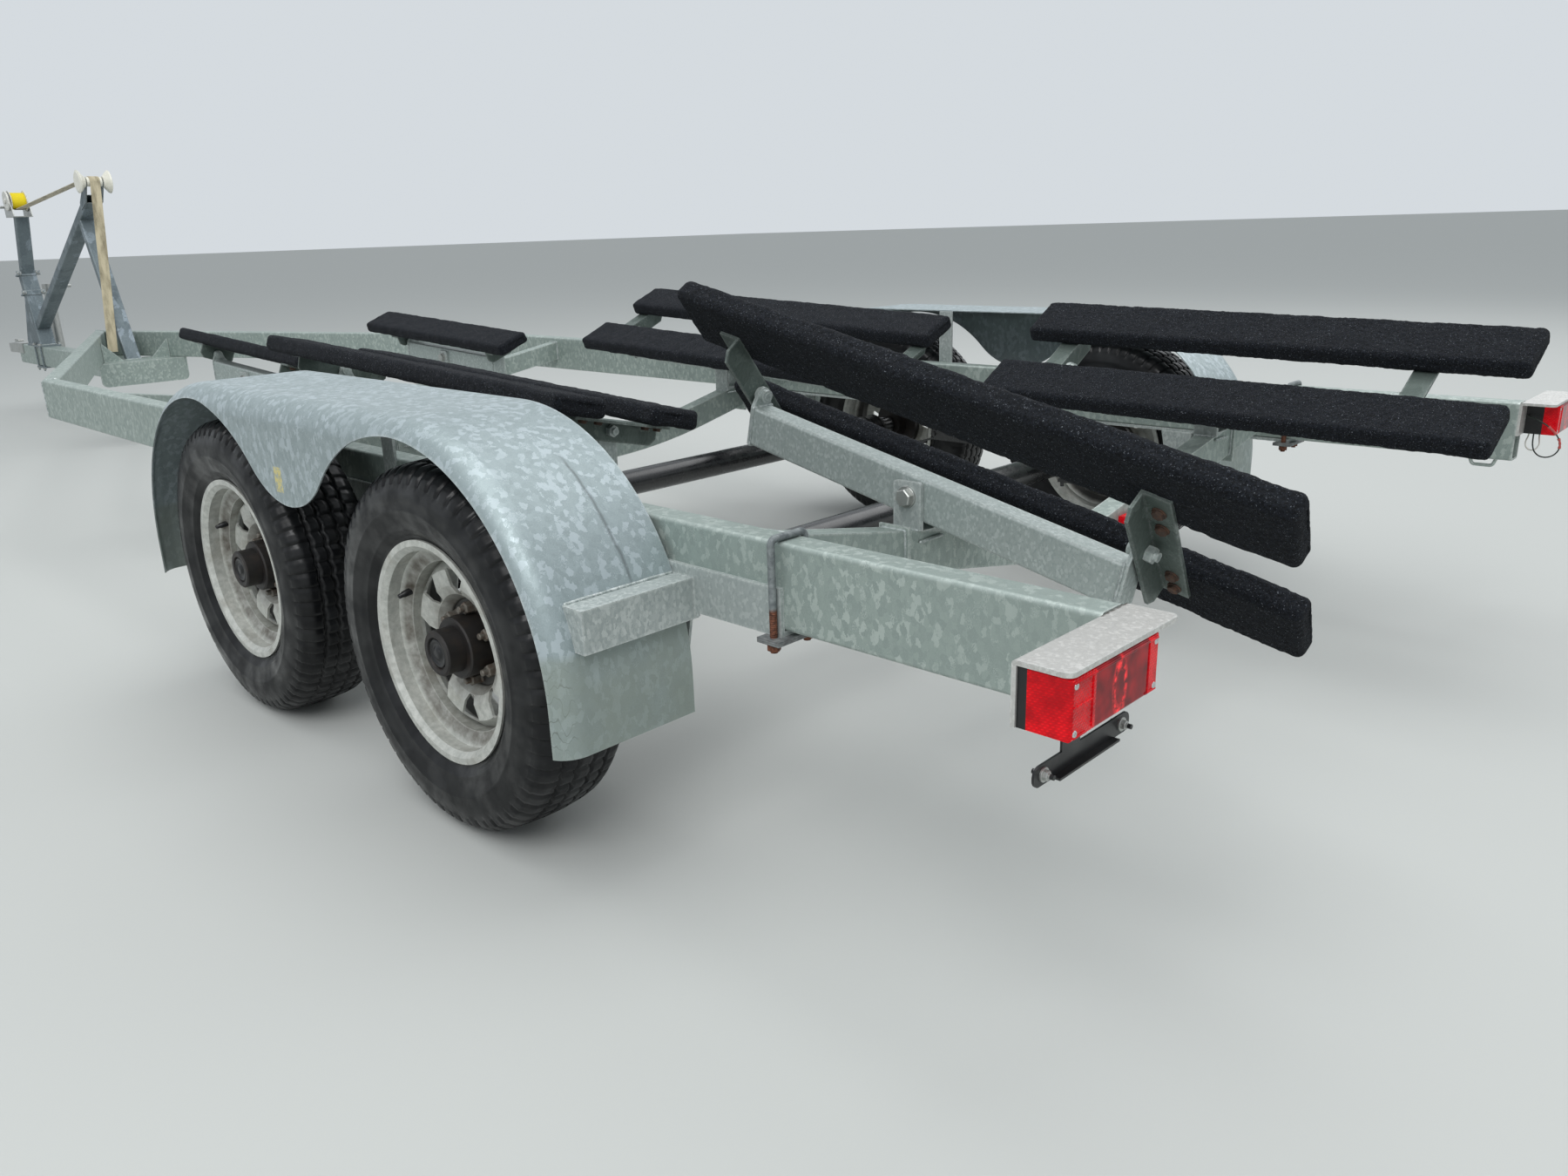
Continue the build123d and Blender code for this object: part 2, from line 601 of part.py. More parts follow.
def winch_drum():
    """The drum on its shaft, with its cheeks, its gear and the strap that is wound on it."""
    half = DRUM_HALF_WIDTH
    gear_y = half + DRUM_SIDE_GAP + WINCH_PLATE + 2
    profile = [(0, -half - 14), (DRUM_SHAFT_RADIUS, -half - 14), (DRUM_SHAFT_RADIUS, -half),
               (DRUM_FLANGE_RADIUS, -half), (DRUM_FLANGE_RADIUS, -half + 4),
               (WOUND_STRAP_RADIUS, -half + 5), (WOUND_STRAP_RADIUS, half - 5),
               (DRUM_FLANGE_RADIUS, half - 4), (DRUM_FLANGE_RADIUS, half),
               (DRUM_SHAFT_RADIUS, half), (DRUM_SHAFT_RADIUS, gear_y),
               (DRUM_FLANGE_RADIUS - 4, gear_y), (DRUM_FLANGE_RADIUS - 4, gear_y + 9),
               (DRUM_SHAFT_RADIUS + 6, gear_y + 9), (DRUM_SHAFT_RADIUS + 6, gear_y + 16),
               (0, gear_y + 16)]
    outline = make_face(Polyline(*[(r, y, 0) for r, y in profile], close=True))
    return Pos(DRUM_X, 0, DRUM_Z) * revolve(outline, Axis.Y)


def winch_strap():
    """The taut webbing: off the bottom of the drum, over the roller's waist and down to the eye."""
    inner = ROLLER_WAIST_RADIUS + SEAT_GAP
    outer = inner + STRAP_THICKNESS
    half = STRAP_WIDTH / 2
    drum_low = DRUM_Z - WOUND_STRAP_RADIUS - SEAT_GAP
    roller_top = ROLLER_Z + inner
    upper = slab_xz([(DRUM_X, drum_low - STRAP_THICKNESS), (DRUM_X, drum_low),
                     (ROLLER_X, roller_top + STRAP_THICKNESS), (ROLLER_X, roller_top)],
                    -half, half)
    ring = pipe((ROLLER_X, -half, ROLLER_Z), (ROLLER_X, half, ROLLER_Z), outer, inner)
    wrap = ring & block((ROLLER_X - 100, ROLLER_X), (-half, half), (ROLLER_Z, ROLLER_Z + 100))
    top = (ROLLER_X - inner - STRAP_THICKNESS / 2, 0, ROLLER_Z + 1)
    foot = (STRAP_FOOT_X, STRAP_FOOT_Y, STRAP_FOOT_Z)
    run = Vector(*foot) - Vector(*top)
    across = Vector(0, 1, 0).cross(run.normalized()).cross(run.normalized()) * -1
    plane = Plane(origin=top, x_dir=across, z_dir=run.normalized())
    lower = extrude(plane * Rectangle(STRAP_WIDTH, STRAP_THICKNESS), run.length)
    return upper + wrap + lower


def jack_outer():
    """The jack's outer tube with its swivel sleeve, top housing and crank."""
    tube = pipe((JACK_X, JACK_Y, JACK_OUTER_BOTTOM), (JACK_X, JACK_Y, JACK_OUTER_TOP),
                JACK_OUTER_RADIUS, JACK_INNER_RADIUS + RUNNING_GAP)
    sleeve_start = -TONGUE_WIDTH / 2 - 8 - 2
    sleeve = pipe((JACK_X, sleeve_start, JACK_PIVOT_Z), (JACK_X, JACK_Y, JACK_PIVOT_Z),
                  JACK_PIVOT_RADIUS + 6, JACK_PIVOT_RADIUS + RUNNING_GAP)
    room = rod((JACK_X, JACK_Y, JACK_OUTER_BOTTOM - 1), (JACK_X, JACK_Y, JACK_OUTER_TOP),
               JACK_INNER_RADIUS + RUNNING_GAP)
    cap = rod((JACK_X, JACK_Y, JACK_OUTER_TOP), (JACK_X, JACK_Y, JACK_OUTER_TOP + 45),
              JACK_OUTER_RADIUS + 5)
    shaft_z = JACK_OUTER_TOP + 24
    shaft = rod((JACK_X, JACK_Y, shaft_z), (JACK_X, JACK_Y - 85, shaft_z), 7)
    arm = block((JACK_X - 8, JACK_X + 150), (JACK_Y - 85, JACK_Y - 79), span(shaft_z, 20))
    grip = rod((JACK_X + 138, JACK_Y - 79, shaft_z), (JACK_X + 138, JACK_Y - 175, shaft_z), 12)
    return tube + (sleeve - room) + cap + shaft + arm + grip


def jack_inner():
    """The jack's sliding inner tube with its foot plate."""
    tube = pipe((JACK_X, JACK_Y, JACK_FOOT_PLATE), (JACK_X, JACK_Y, JACK_INNER_TOP),
                JACK_INNER_RADIUS, JACK_INNER_RADIUS - 4)
    half = JACK_FOOT_SIZE / 2
    foot = block((JACK_X - half, JACK_X + half), (JACK_Y - half, JACK_Y + half),
                 (0, JACK_FOOT_PLATE))
    return tube + fillet(foot.edges().filter_by(Axis.Z), 18)


def tyre():
    """A radial tyre: an open carcass about the +Y axis, its beads resting on the rim."""
    tread = TYRE_RADIUS
    shoulder = tread - 10
    bead = RIM_RADIUS
    rim_side = RIM_HALF_WIDTH - 12
    middle = (tread + bead) / 2
    outer = [(bead, rim_side), (bead + 19, rim_side + 3), (middle - 12, TYRE_HALF_WIDTH - 4),
             (middle + 12, TYRE_HALF_WIDTH), (shoulder - 16, TYRE_HALF_WIDTH - 9),
             (shoulder, TREAD_HALF_WIDTH + 6), (tread - 3, TREAD_HALF_WIDTH - 10), (tread, 30)]
    inner = [(tread - TYRE_WALL - 5, TREAD_HALF_WIDTH - 12), (middle + 10, TYRE_HALF_WIDTH - 10),
             (middle - 10, TYRE_HALF_WIDTH - 14), (bead + 12, rim_side - 10), (bead, rim_side - 16)]
    points = outer + [(r, -y) for r, y in reversed(outer)]
    points = points + [(r, -y) for r, y in reversed(inner)] + inner
    return revolve(make_face(Polyline(*[(r, y, 0) for r, y in points], close=True)), Axis.Y)


def rim():
    """A pressed steel wheel about the +Y axis: rim band, crowned disc and triangular windows."""
    half = RIM_HALF_WIDTH
    seat = RIM_RADIUS - RUNNING_GAP
    well = seat - 26
    t = RIM_SHEET
    outside = [(RIM_FLANGE_RADIUS, half), (RIM_FLANGE_RADIUS, half - 5), (seat, half - 12),
               (seat, half - 32), (well, half - 46), (well, -half + 60), (seat, -half + 42),
               (seat, -half + 12), (RIM_FLANGE_RADIUS, -half + 5), (RIM_FLANGE_RADIUS, -half)]
    inside = [(seat + 6, -half), (seat - t, -half + 9), (seat - t, -half + 43),
              (well - t, -half + 61), (well - t, half - 47), (seat - t, half - 33),
              (seat - t, half - 9), (seat + 6, half)]
    band = revolve(make_face(Polyline(*[(r, y, 0) for r, y in outside + inside], close=True)),
                   Axis.Y)
    bore = HUB_RADIUS + 1.5
    plate = DISC_PLATE
    edge = well - t
    crown = [(bore, 0), (82, 0), (96, DISC_CROWN - 8), (112, DISC_CROWN), (142, DISC_CROWN),
             (edge, 10), (edge, 10 - plate), (140, DISC_CROWN - plate),
             (114, DISC_CROWN - plate), (100, DISC_CROWN - 8 - plate), (86, -plate), (bore, -plate)]
    disc = revolve(make_face(Polyline(*[(r, y, 0) for r, y in crown], close=True)), Axis.Y)
    window = make_face(Polyline((-8, 0, 97), (8, 0, 97), (31, 0, 143), (-31, 0, 143), close=True))
    window = fillet(window.vertices(), 5)
    cutter = Pos(0, -20, 0) * extrude(window, amount=80, dir=(0, 1, 0))
    for index in range(RIM_WINDOWS):
        disc = disc - Rot(0, index * 360 / RIM_WINDOWS, 0) * cutter
    return band + disc


def hub():
    """The hub about the +Y axis: bearing barrel, stud flange behind the disc and grease cap."""
    step = HUB_CAP_END - 36
    profile = [(SPINDLE_RADIUS + RUNNING_GAP, -62), (HUB_RADIUS - 10, -62),
               (HUB_RADIUS - 10, -HUB_FLANGE_PLATE - DISC_PLATE),
               (HUB_FLANGE_RADIUS, -HUB_FLANGE_PLATE - DISC_PLATE),
               (HUB_FLANGE_RADIUS, -DISC_PLATE), (HUB_RADIUS, -DISC_PLATE),
               (HUB_RADIUS, step - 3), (HUB_RADIUS - 3, step), (HUB_CAP_RADIUS, step),
               (HUB_CAP_RADIUS, HUB_CAP_END - 3), (HUB_CAP_RADIUS - 3, HUB_CAP_END),
               (HUB_CAP_RADIUS - 12, HUB_CAP_END), (HUB_CAP_RADIUS - 14, HUB_CAP_END - 5),
               (0, HUB_CAP_END - 5), (0, 52), (SPINDLE_RADIUS + RUNNING_GAP, 52)]
    return revolve(make_face(Polyline(*[(r, y, 0) for r, y in profile], close=True)), Axis.Y)


def axles():
    """Both axles: tubes with a welded spring seat at each rail and a spindle at each end."""
    shape = []
    for x in WHEEL_X.values():
        tube = pipe((x, -AXLE_TUBE_END, TYRE_RADIUS), (x, AXLE_TUBE_END, TYRE_RADIUS),
                    AXLE_RADIUS, AXLE_RADIUS - AXLE_WALL)
        for side in (1, -1):
            start = (x, side * (AXLE_TUBE_END - 20), TYRE_RADIUS)
            collar = (x, side * (WHEEL_Y - 70), TYRE_RADIUS)
            end = (x, side * (WHEEL_Y + 50), TYRE_RADIUS)
            tube = tube + rod(start, collar, AXLE_RADIUS - AXLE_WALL) + rod(collar, end,
                                                                         SPINDLE_RADIUS)
            seat = block(span(x, 2 * SEAT_HALF_LENGTH), span(side * SPRING_Y, LEAF_WIDTH),
                         (TYRE_RADIUS - AXLE_RADIUS - SPRING_SEAT_PAD,
                          TYRE_RADIUS - AXLE_RADIUS + 12))
            tube = tube + (seat - rod((x, -2000, TYRE_RADIUS), (x, 2000, TYRE_RADIUS),
                                      AXLE_RADIUS - 1))
        shape.append(tube)
    return Compound(children=shape)


def leaf(half_length, top_z, x, radius):
    """One leaf, curved up towards its ends about a centre far above."""
    outer = radius + LEAF_THICKNESS
    centre_z = top_z + radius
    reach = half_length / radius
    points = []
    for r, turn in ((radius, -reach), (radius, 0), (radius, reach)):
        points.append((x + r * sin(turn), 0, centre_z - r * cos(turn)))
    low = []
    for turn in (reach, 0, -reach):
        low.append((x + outer * sin(turn), 0, centre_z - outer * cos(turn)))
    upper_arc = ThreePointArc(*points)
    lower_arc = ThreePointArc(*low)
    ends = Line(points[2], low[0]) + Line(low[2], points[0])
    outline = make_face(upper_arc + ends + lower_arc)
    return Pos(0, SPRING_Y - LEAF_WIDTH / 2, 0) * extrude(outline, amount=LEAF_WIDTH, dir=(0, 1, 0))


def spring_pack(x):
    """One spring: main leaf with eyes, three shorter leaves, and the U-bolts round the axle."""
    seat = spring_top()
    radius = (SPRING_HALF_LENGTH ** 2 + SPRING_CAMBER ** 2) / (2 * SPRING_CAMBER)
    pack = leaf(SPRING_HALF_LENGTH - 4, seat, x, radius)
    for index, share in enumerate((0.8, 0.58, 0.36), start=1):
        top = seat - index * (LEAF_THICKNESS - 0.2)
        pack = pack + leaf(SPRING_HALF_LENGTH * share, top, x, radius + index * LEAF_THICKNESS)
    eye_z = eye_height()
    for end in (-1, 1):
        eye_x = x + end * SPRING_HALF_LENGTH
        start = (eye_x, SPRING_Y - LEAF_WIDTH / 2, eye_z)
        stop = (eye_x, SPRING_Y + LEAF_WIDTH / 2, eye_z)
        pack = pack + rod(start, stop, SPRING_EYE_RADIUS) - rod(start, stop, EYE_BOLT_RADIUS + RUNNING_GAP)
    low = seat - 4 * LEAF_THICKNESS - 9
    pack = pack + block(span(x, 110), span(SPRING_Y, 78), (low, low + 10))
    for dx in (-AXLE_RADIUS - 6.5, AXLE_RADIUS + 6.5):
        for dy in (-LEAF_WIDTH / 2 - 6.5, LEAF_WIDTH / 2 + 6.5):
            pack = pack + rod((x + dx, SPRING_Y + dy, low - 14),
                              (x + dx, SPRING_Y + dy, TYRE_RADIUS), 6)
    for dy in (-LEAF_WIDTH / 2 - 6.5, LEAF_WIDTH / 2 + 6.5):
        ring = pipe((x, SPRING_Y + dy - 6, TYRE_RADIUS), (x, SPRING_Y + dy + 6, TYRE_RADIUS),
                    AXLE_RADIUS + 12.5, AXLE_RADIUS + 0.5)
        arch = ring & block((x - 100, x + 100), (SPRING_Y - 100, SPRING_Y + 100),
                            (TYRE_RADIUS, TYRE_RADIUS + 100))
        pack = pack + arch
    return pack


def spring_top():
    """Height of the main leaf's top under the axle, just clear of the flat seat that it curves past."""
    return TYRE_RADIUS - AXLE_RADIUS - SPRING_SEAT_PAD - 0.8


def eye_height():
    """Height of the spring eyes' centres."""
    return spring_top() + SPRING_CAMBER + SPRING_EYE_RADIUS - LEAF_THICKNESS


def equaliser():
    """The rocking plate between the two springs of one side, with its shackle plates."""
    middle = (WHEEL_X["rear"] + WHEEL_X["front"]) / 2
    near = middle - (WHEEL_X["rear"] + SPRING_HALF_LENGTH)
    z = eye_height()
    plate = slab_xz([(middle - near, z - 20), (middle + near, z - 20), (middle + near, z + 20),
                     (middle + 30, z + 48), (middle - 30, z + 48), (middle - near, z + 20)],
                    SPRING_Y + LEAF_WIDTH / 2 + 2, SPRING_Y + LEAF_WIDTH / 2 + 10)
    other = Pos(0, -LEAF_WIDTH - 12, 0) * plate
    pins = []
    for x in (middle - near, middle + near):
        pins.append(rod((x, SPRING_Y - LEAF_WIDTH / 2 - 16, z),
                        (x, SPRING_Y + LEAF_WIDTH / 2 + 16, z), EYE_BOLT_RADIUS + RUNNING_GAP))
    bore = rod((middle, SPRING_Y - 60, z + EQUALISER_RISE), (middle, SPRING_Y + 60, z + EQUALISER_RISE),
               EYE_BOLT_RADIUS + RUNNING_GAP)
    return plate + other - bore + pins[0] + pins[1]


def leaf_springs():
    """The springs of both sides with their equalisers."""
    left = spring_pack(WHEEL_X["rear"]) + spring_pack(WHEEL_X["front"]) + equaliser()
    return Compound(children=[left, mirrored(left)])


def hanger(x):
    """A hanger: two plates down from the sub rail with the bolt between them."""
    z = eye_height()
    top = RAIL_BOTTOM - SUB_RAIL_PLATE
    shape = []
    for dy in (-LEAF_WIDTH / 2 - 3, LEAF_WIDTH / 2 + 3 + HANGER_PLATE):
        high = SPRING_Y + dy
        shape.append(slab_xz([(x - 45, top), (x + 45, top), (x + 22, z - 20), (x - 22, z - 20)],
                             high - HANGER_PLATE, high))
    return shape


def fender_tube(x_low, x_high, centre_x):
    """A box tube out from the rail to the fender's skin, its end and front cut to the skin."""
    low = FENDER_TUBE_TOP - FENDER_TUBE
    outer = block((x_low, x_high), (RAIL_OUTSIDE, FENDER_TUBE_END), (low, FENDER_TUBE_TOP))
    inner = block((x_low + 5, x_high - 5), (RAIL_OUTSIDE - 1, FENDER_TUBE_END - 5),
                  (low + 5, FENDER_TUBE_TOP - 5))
    skin = rod((centre_x, FENDER_INSIDE, TYRE_RADIUS), (centre_x, FENDER_OUTSIDE + 10, TYRE_RADIUS),
               FENDER_RADIUS)
    return (outer - inner) - skin


def sub_rail():
    """The angle rail under one side rail, with spring hangers and the fender's tubes and strap."""
    top = RAIL_BOTTOM + SUB_RAIL_RISE - SUB_RAIL_PLATE
    low = RAIL_BOTTOM - SUB_RAIL_PLATE
    angle = block((SUB_RAIL_START, SUB_RAIL_END), (RAIL_OUTSIDE, RAIL_OUTSIDE + SUB_RAIL_PLATE),
                  (low, top))
    angle = angle + block((SUB_RAIL_START, SUB_RAIL_END),
                          (RAIL_INSIDE, RAIL_OUTSIDE + 1),
                          (low, RAIL_BOTTOM))
    middle = (WHEEL_X["rear"] + WHEEL_X["front"]) / 2
    for x in (WHEEL_X["rear"] - SPRING_HALF_LENGTH, WHEEL_X["front"] + SPRING_HALF_LENGTH):
        for plate in hanger(x):
            angle = angle + plate
        eye = rod((x, SPRING_Y - LEAF_WIDTH / 2 - 18, eye_height()),
                  (x, SPRING_Y + LEAF_WIDTH / 2 + 18, eye_height()), EYE_BOLT_RADIUS)
        angle = angle + eye
    pivot_z = eye_height() + EQUALISER_RISE
    post = block(span(middle, 60), span(SPRING_Y, LEAF_WIDTH - 4), (pivot_z - 14, low + 1))
    pivot = rod((middle, SPRING_Y - 40, pivot_z), (middle, SPRING_Y + 40, pivot_z), EYE_BOLT_RADIUS)
    angle = angle + post + pivot
    rear_skin = WHEEL_X["rear"] - FENDER_RADIUS
    front_skin = WHEEL_X["front"] + FENDER_RADIUS
    angle = angle + fender_tube(rear_skin - 13, rear_skin - 13 + FENDER_TUBE_REACH, WHEEL_X["rear"])
    angle = angle + fender_tube(front_skin + 13 - FENDER_TUBE_REACH, front_skin + 13,
                                WHEEL_X["front"])
    strap = block(span(middle + 110, 50), (RAIL_OUTSIDE, RAIL_OUTSIDE + 6),
                  (top - 10, FENDER_TOP - FENDER_SHEET))
    return angle + strap


def fender():
    """The pressed fender: a skin over both wheels, its outer edge rolled down to a cut skirt."""
    rear = WHEEL_X["rear"]
    front = WHEEL_X["front"]
    outside = fender_body(rear, front, FENDER_RADIUS, FENDER_OUTSIDE, FENDER_ROLL, 0)
    hollow = fender_body(rear, front, FENDER_RADIUS - FENDER_SHEET, FENDER_OUTSIDE - FENDER_SHEET,
                         FENDER_ROLL - FENDER_SHEET, 1)
    shell = outside - hollow
    middle = (rear + front) / 2
    gap = (front - rear) / 2
    rise = FENDER_SKIRT_BOTTOM - TYRE_RADIUS
    bow = (gap ** 2 + rise ** 2 - FENDER_ARCH_RADIUS ** 2) / (2 * (FENDER_ARCH_RADIUS - rise))
    reach = FENDER_ARCH_RADIUS / (FENDER_ARCH_RADIUS + bow)
    touch_x = gap * reach
    touch_z = TYRE_RADIUS + (rise + bow) * reach
    dip = make_face(
        ThreePointArc((rear + touch_x, 0, touch_z), (middle, 0, FENDER_SKIRT_BOTTOM),
                      (front - touch_x, 0, touch_z))
        + Line((front - touch_x, 0, touch_z), (front - touch_x, 0, 0))
        + Line((front - touch_x, 0, 0), (rear + touch_x, 0, 0))
        + Line((rear + touch_x, 0, 0), (rear + touch_x, 0, touch_z)))
    cut_start = FENDER_OUTSIDE - FENDER_ROLL - 1
    cut = Pos(0, cut_start, 0) * extrude(dip, amount=200, dir=(0, 1, 0))
    for x in (rear, front):
        cut = cut + rod((x, cut_start, TYRE_RADIUS), (x, cut_start + 200, TYRE_RADIUS),
                        FENDER_ARCH_RADIUS)
        cut = cut + block(span(x, 2 * FENDER_ARCH_RADIUS), (cut_start, cut_start + 200),
                          (0, TYRE_RADIUS))
    return shell - cut


def fender_body(rear, front, radius, outside, roll, extra):
    """The filled form of the fender, cut off flat at the bottom, extra longer where it is open."""
    low = FENDER_FLAP_BOTTOM - extra
    inside = FENDER_INSIDE - extra
    outline = make_face(fender_outline(rear, front, radius, low, inside))
    body = extrude(outline, amount=outside - inside, dir=(0, 1, 0))
    edges = [e for e in body.edges() if abs(e.center().Y - outside) < 0.5 and e.center().Z > low + 1]
    return fillet(edges, roll)


def fender_outline(rear, front, radius, low, y):
    """The side outline: up the flap, over the rear wheel, along, and down over the front wheel."""
    z = TYRE_RADIUS
    k = radius * cos(radians(45))
    return (Line((rear - radius, y, low), (rear - radius, y, z))
            + ThreePointArc((rear - radius, y, z), (rear - k, y, z + k), (rear, y, z + radius))
            + Line((rear, y, z + radius), (front, y, z + radius))
            + ThreePointArc((front, y, z + radius), (front + k, y, z + k), (front + radius, y, z))
            + Line((front + radius, y, z), (front + radius, y, low))
            + Line((front + radius, y, low), (rear - radius, y, low)))


def frame_clamps():
    """The U-bolts that hold the sub rails under the side rails, with their nut plates."""
    shapes = []
    radius = CLAMP_ROD_RADIUS
    outer_y = RAIL_OUTSIDE + SUB_RAIL_PLATE + radius + SEAT_GAP
    inner_y = RAIL_INSIDE - radius - SEAT_GAP
    top_z = RAIL_TOP + radius + SEAT_GAP
    plate_top = RAIL_BOTTOM - SUB_RAIL_PLATE
    for x in CLAMP_X:
        path = FilletPolyline((x, outer_y, plate_top - 24), (x, outer_y, top_z),
                              (x, inner_y, top_z), (x, inner_y, plate_top - 24), radius=10)
        bolt = sweep(Plane(origin=path @ 0, z_dir=path % 0) * Circle(radius), path=path)
        plate = block(span(x, 46), (inner_y - 14, outer_y + 14), (plate_top - 8, plate_top))
        nuts = [Pos(x, y, plate_top - 14) * extrude(RegularPolygon(11, 6), 6, both=True)
                for y in (inner_y, outer_y)]
        clamp = bolt + plate + nuts[0] + nuts[1]
        shapes = shapes + [clamp, mirrored(clamp)]
    return Compound(children=shapes)


def lamp_guard():
    """The bent plate on the rail's end: upright where the lamp is bolted, and flat over the lamp."""
    top = block((-GUARD_LENGTH, 0), (RAIL_INSIDE, GUARD_OUTSIDE), (RAIL_TOP - GUARD_PLATE, RAIL_TOP))
    top = fillet(top.edges().filter_by(Axis.Z).group_by(Axis.X)[0], 12)
    upright = block((-GUARD_PLATE, 0), (RAIL_INSIDE, GUARD_OUTSIDE), (LAMP_TOP - LAMP_DEPTH, RAIL_TOP))
    bent = upright + top
    bend = bent.edges().filter_by(Axis.Y).group_by(Axis.Z)[-1].sort_by(Axis.X)[-1]
    return fillet(bend, GUARD_PLATE - 1)


def lamp_guards():
    """The guards of both lamps."""
    left = lamp_guard()
    return Compound(children=[left, mirrored(left)])


def lamp_housing():
    """The black moulded base of a lamp, deeper on the side next to the rail."""
    low = LAMP_TOP - LAMP_DEPTH
    base = block((-GUARD_PLATE - LAMP_BASE, -GUARD_PLATE), (LAMP_INSIDE, LAMP_OUTSIDE), (low, LAMP_TOP))
    back = block((-LAMP_BACK, -GUARD_PLATE - LAMP_BASE), (LAMP_INSIDE, LAMP_INSIDE + LAMP_BACK_WIDTH),
                 (low, LAMP_TOP))
    return base + back


def plate_arm():
    """The folded arm under the left lamp, with the two bolts that a plate is fastened to."""
    low = PLATE_BAR_Z - PLATE_BAR_DEPTH / 2
    high = PLATE_BAR_Z + PLATE_BAR_DEPTH / 2
    sheet = (-PLATE_BAR_BACK, -PLATE_BAR_BACK + PLATE_BAR_SHEET)
    half = PLATE_BOLT_SPACING / 2
    bar = block(sheet, span(PLATE_BAR_MIDDLE, PLATE_BOLT_SPACING + 40), (low, high))
    bar = fillet(bar.edges().filter_by(Axis.X), PLATE_BAR_DEPTH / 2 - 1)
    under = LAMP_TOP - LAMP_DEPTH
    hanger = block(sheet, span(PLATE_BAR_MIDDLE + 30, 40), (high - 4, under))
    fold = block((-PLATE_BAR_BACK - 26, -PLATE_BAR_BACK + PLATE_BAR_SHEET),
                 span(PLATE_BAR_MIDDLE + 30, 40), (under - PLATE_BAR_SHEET, under))
    lip = block((-PLATE_BAR_BACK - 10, -PLATE_BAR_BACK + 1),
                span(PLATE_BAR_MIDDLE, PLATE_BOLT_SPACING - 40), (low, low + PLATE_BAR_SHEET))
    arm = bar + hanger + fold + lip
    for y in (PLATE_BAR_MIDDLE - half, PLATE_BAR_MIDDLE + half):
        arm = arm + rod((-PLATE_BAR_BACK - 14, y, PLATE_BAR_Z), (-PLATE_BAR_BACK + 14, y, PLATE_BAR_Z),
                        PLATE_BOLT_RADIUS)
    return arm


def lamp_housings():
    """Both lamp bases, and the plate's arm under the left one."""
    left = lamp_housing()
    return Compound(children=[left + plate_arm(), mirrored(left)])


def lamp_lens():
    """A red lens over the lamp's rear face, wrapped round its outer side."""
    low = LAMP_TOP - LAMP_DEPTH
    lens = block((-GUARD_LENGTH, -GUARD_PLATE - LAMP_BASE), (LAMP_INSIDE, LAMP_OUTSIDE), (low, LAMP_TOP))
    lens = fillet(lens.edges().filter_by(lambda e: e.center().X < -GUARD_LENGTH + 1), 4)
    room = block((-LAMP_BACK, 0), (LAMP_INSIDE - 1, LAMP_INSIDE + LAMP_BACK_WIDTH), (low - 1, LAMP_TOP + 1))
    return lens - room


def wire(route, radius):
    """A thin wire along a route, its bends as wide as the runs beside them allow."""
    points = [Vector(*p) for p in route]
    runs = [(b - a).length for a, b in zip(points, points[1:])]
    bends = []
    for index in range(1, len(points) - 1):
        turn = (points[index] - points[index - 1]).get_angle(points[index + 1] - points[index])
        bends.append(0.45 * min(runs[index - 1], runs[index]) / tan(radians(turn) / 2))
    path = FilletPolyline(*points, radius=bends)
    tube = sweep(Plane(origin=path @ 0, z_dir=path % 0) * Circle(radius), path=path)
    print("wire", round(path.length, 1), "bends", [round(r, 1) for r in bends],
          "volume share", round(tube.volume / (3.14159 * radius ** 2 * path.length), 4))
    return tube


def marker_lamp(y):
    """A small red marker lamp on the rear crossmember's rear face."""
    x = CROSSMEMBERS["rear"]["x"] - CROSS_WIDTH / 2
    z = cross_centre_z("rear", abs(y))
    lamp = block((x - 24, x), span(y, 48), span(z, 30))
    return fillet(lamp.edges().filter_by(lambda e: e.center().X < x - 23), 6)


def lamp_lenses():
    """The lenses of the rear lamps and the marker lamps in the middle."""
    left = lamp_lens()
    return Compound(children=[left, mirrored(left), marker_lamp(120), marker_lamp(-120)])


def cross_centre_z(name, y):
    """Height of a crossmember's centre line at one distance from the middle."""
    row = CROSSMEMBERS[name]
    slope = tan(radians(row["slope"]))
    middle = row["end_z"] - RAIL_INSIDE * slope
    sweep_half = row["sweep"] * sin(radians(row["slope"]))
    if y < sweep_half:
        rise = row["sweep"] - sqrt(row["sweep"] ** 2 - y ** 2)
        flat = middle + sweep_half * slope - row["sweep"] * (1 - cos(radians(row["slope"])))
        return flat + rise
    return middle + y * slope


def cross_band(name, depth):
    """The band that a crossmember fills in the YZ plane, for a tube of the given depth."""
    row = CROSSMEMBERS[name]
    slope = radians(row["slope"])
    half = depth / 2 / cos(slope)
    middle = row["end_z"] - RAIL_INSIDE * tan(slope)
    ends = []
    for offset, radius in ((half, row["sweep"] - depth / 2), (-half, row["sweep"] + depth / 2)):
        left = (0, RAIL_INSIDE, row["end_z"] + offset)
        right = (0, -RAIL_INSIDE, row["end_z"] + offset)
        corner = (0, 0, middle + offset)
        if row["sweep"]:
            ends.append(FilletPolyline(left, corner, right, radius=radius))
        else:
            ends.append(Polyline(left, corner, right))
    sides = Line(ends[0] @ 0, ends[1] @ 0) + Line(ends[0] @ 1, ends[1] @ 1)
    return make_face(ends[0] + ends[1] + sides)


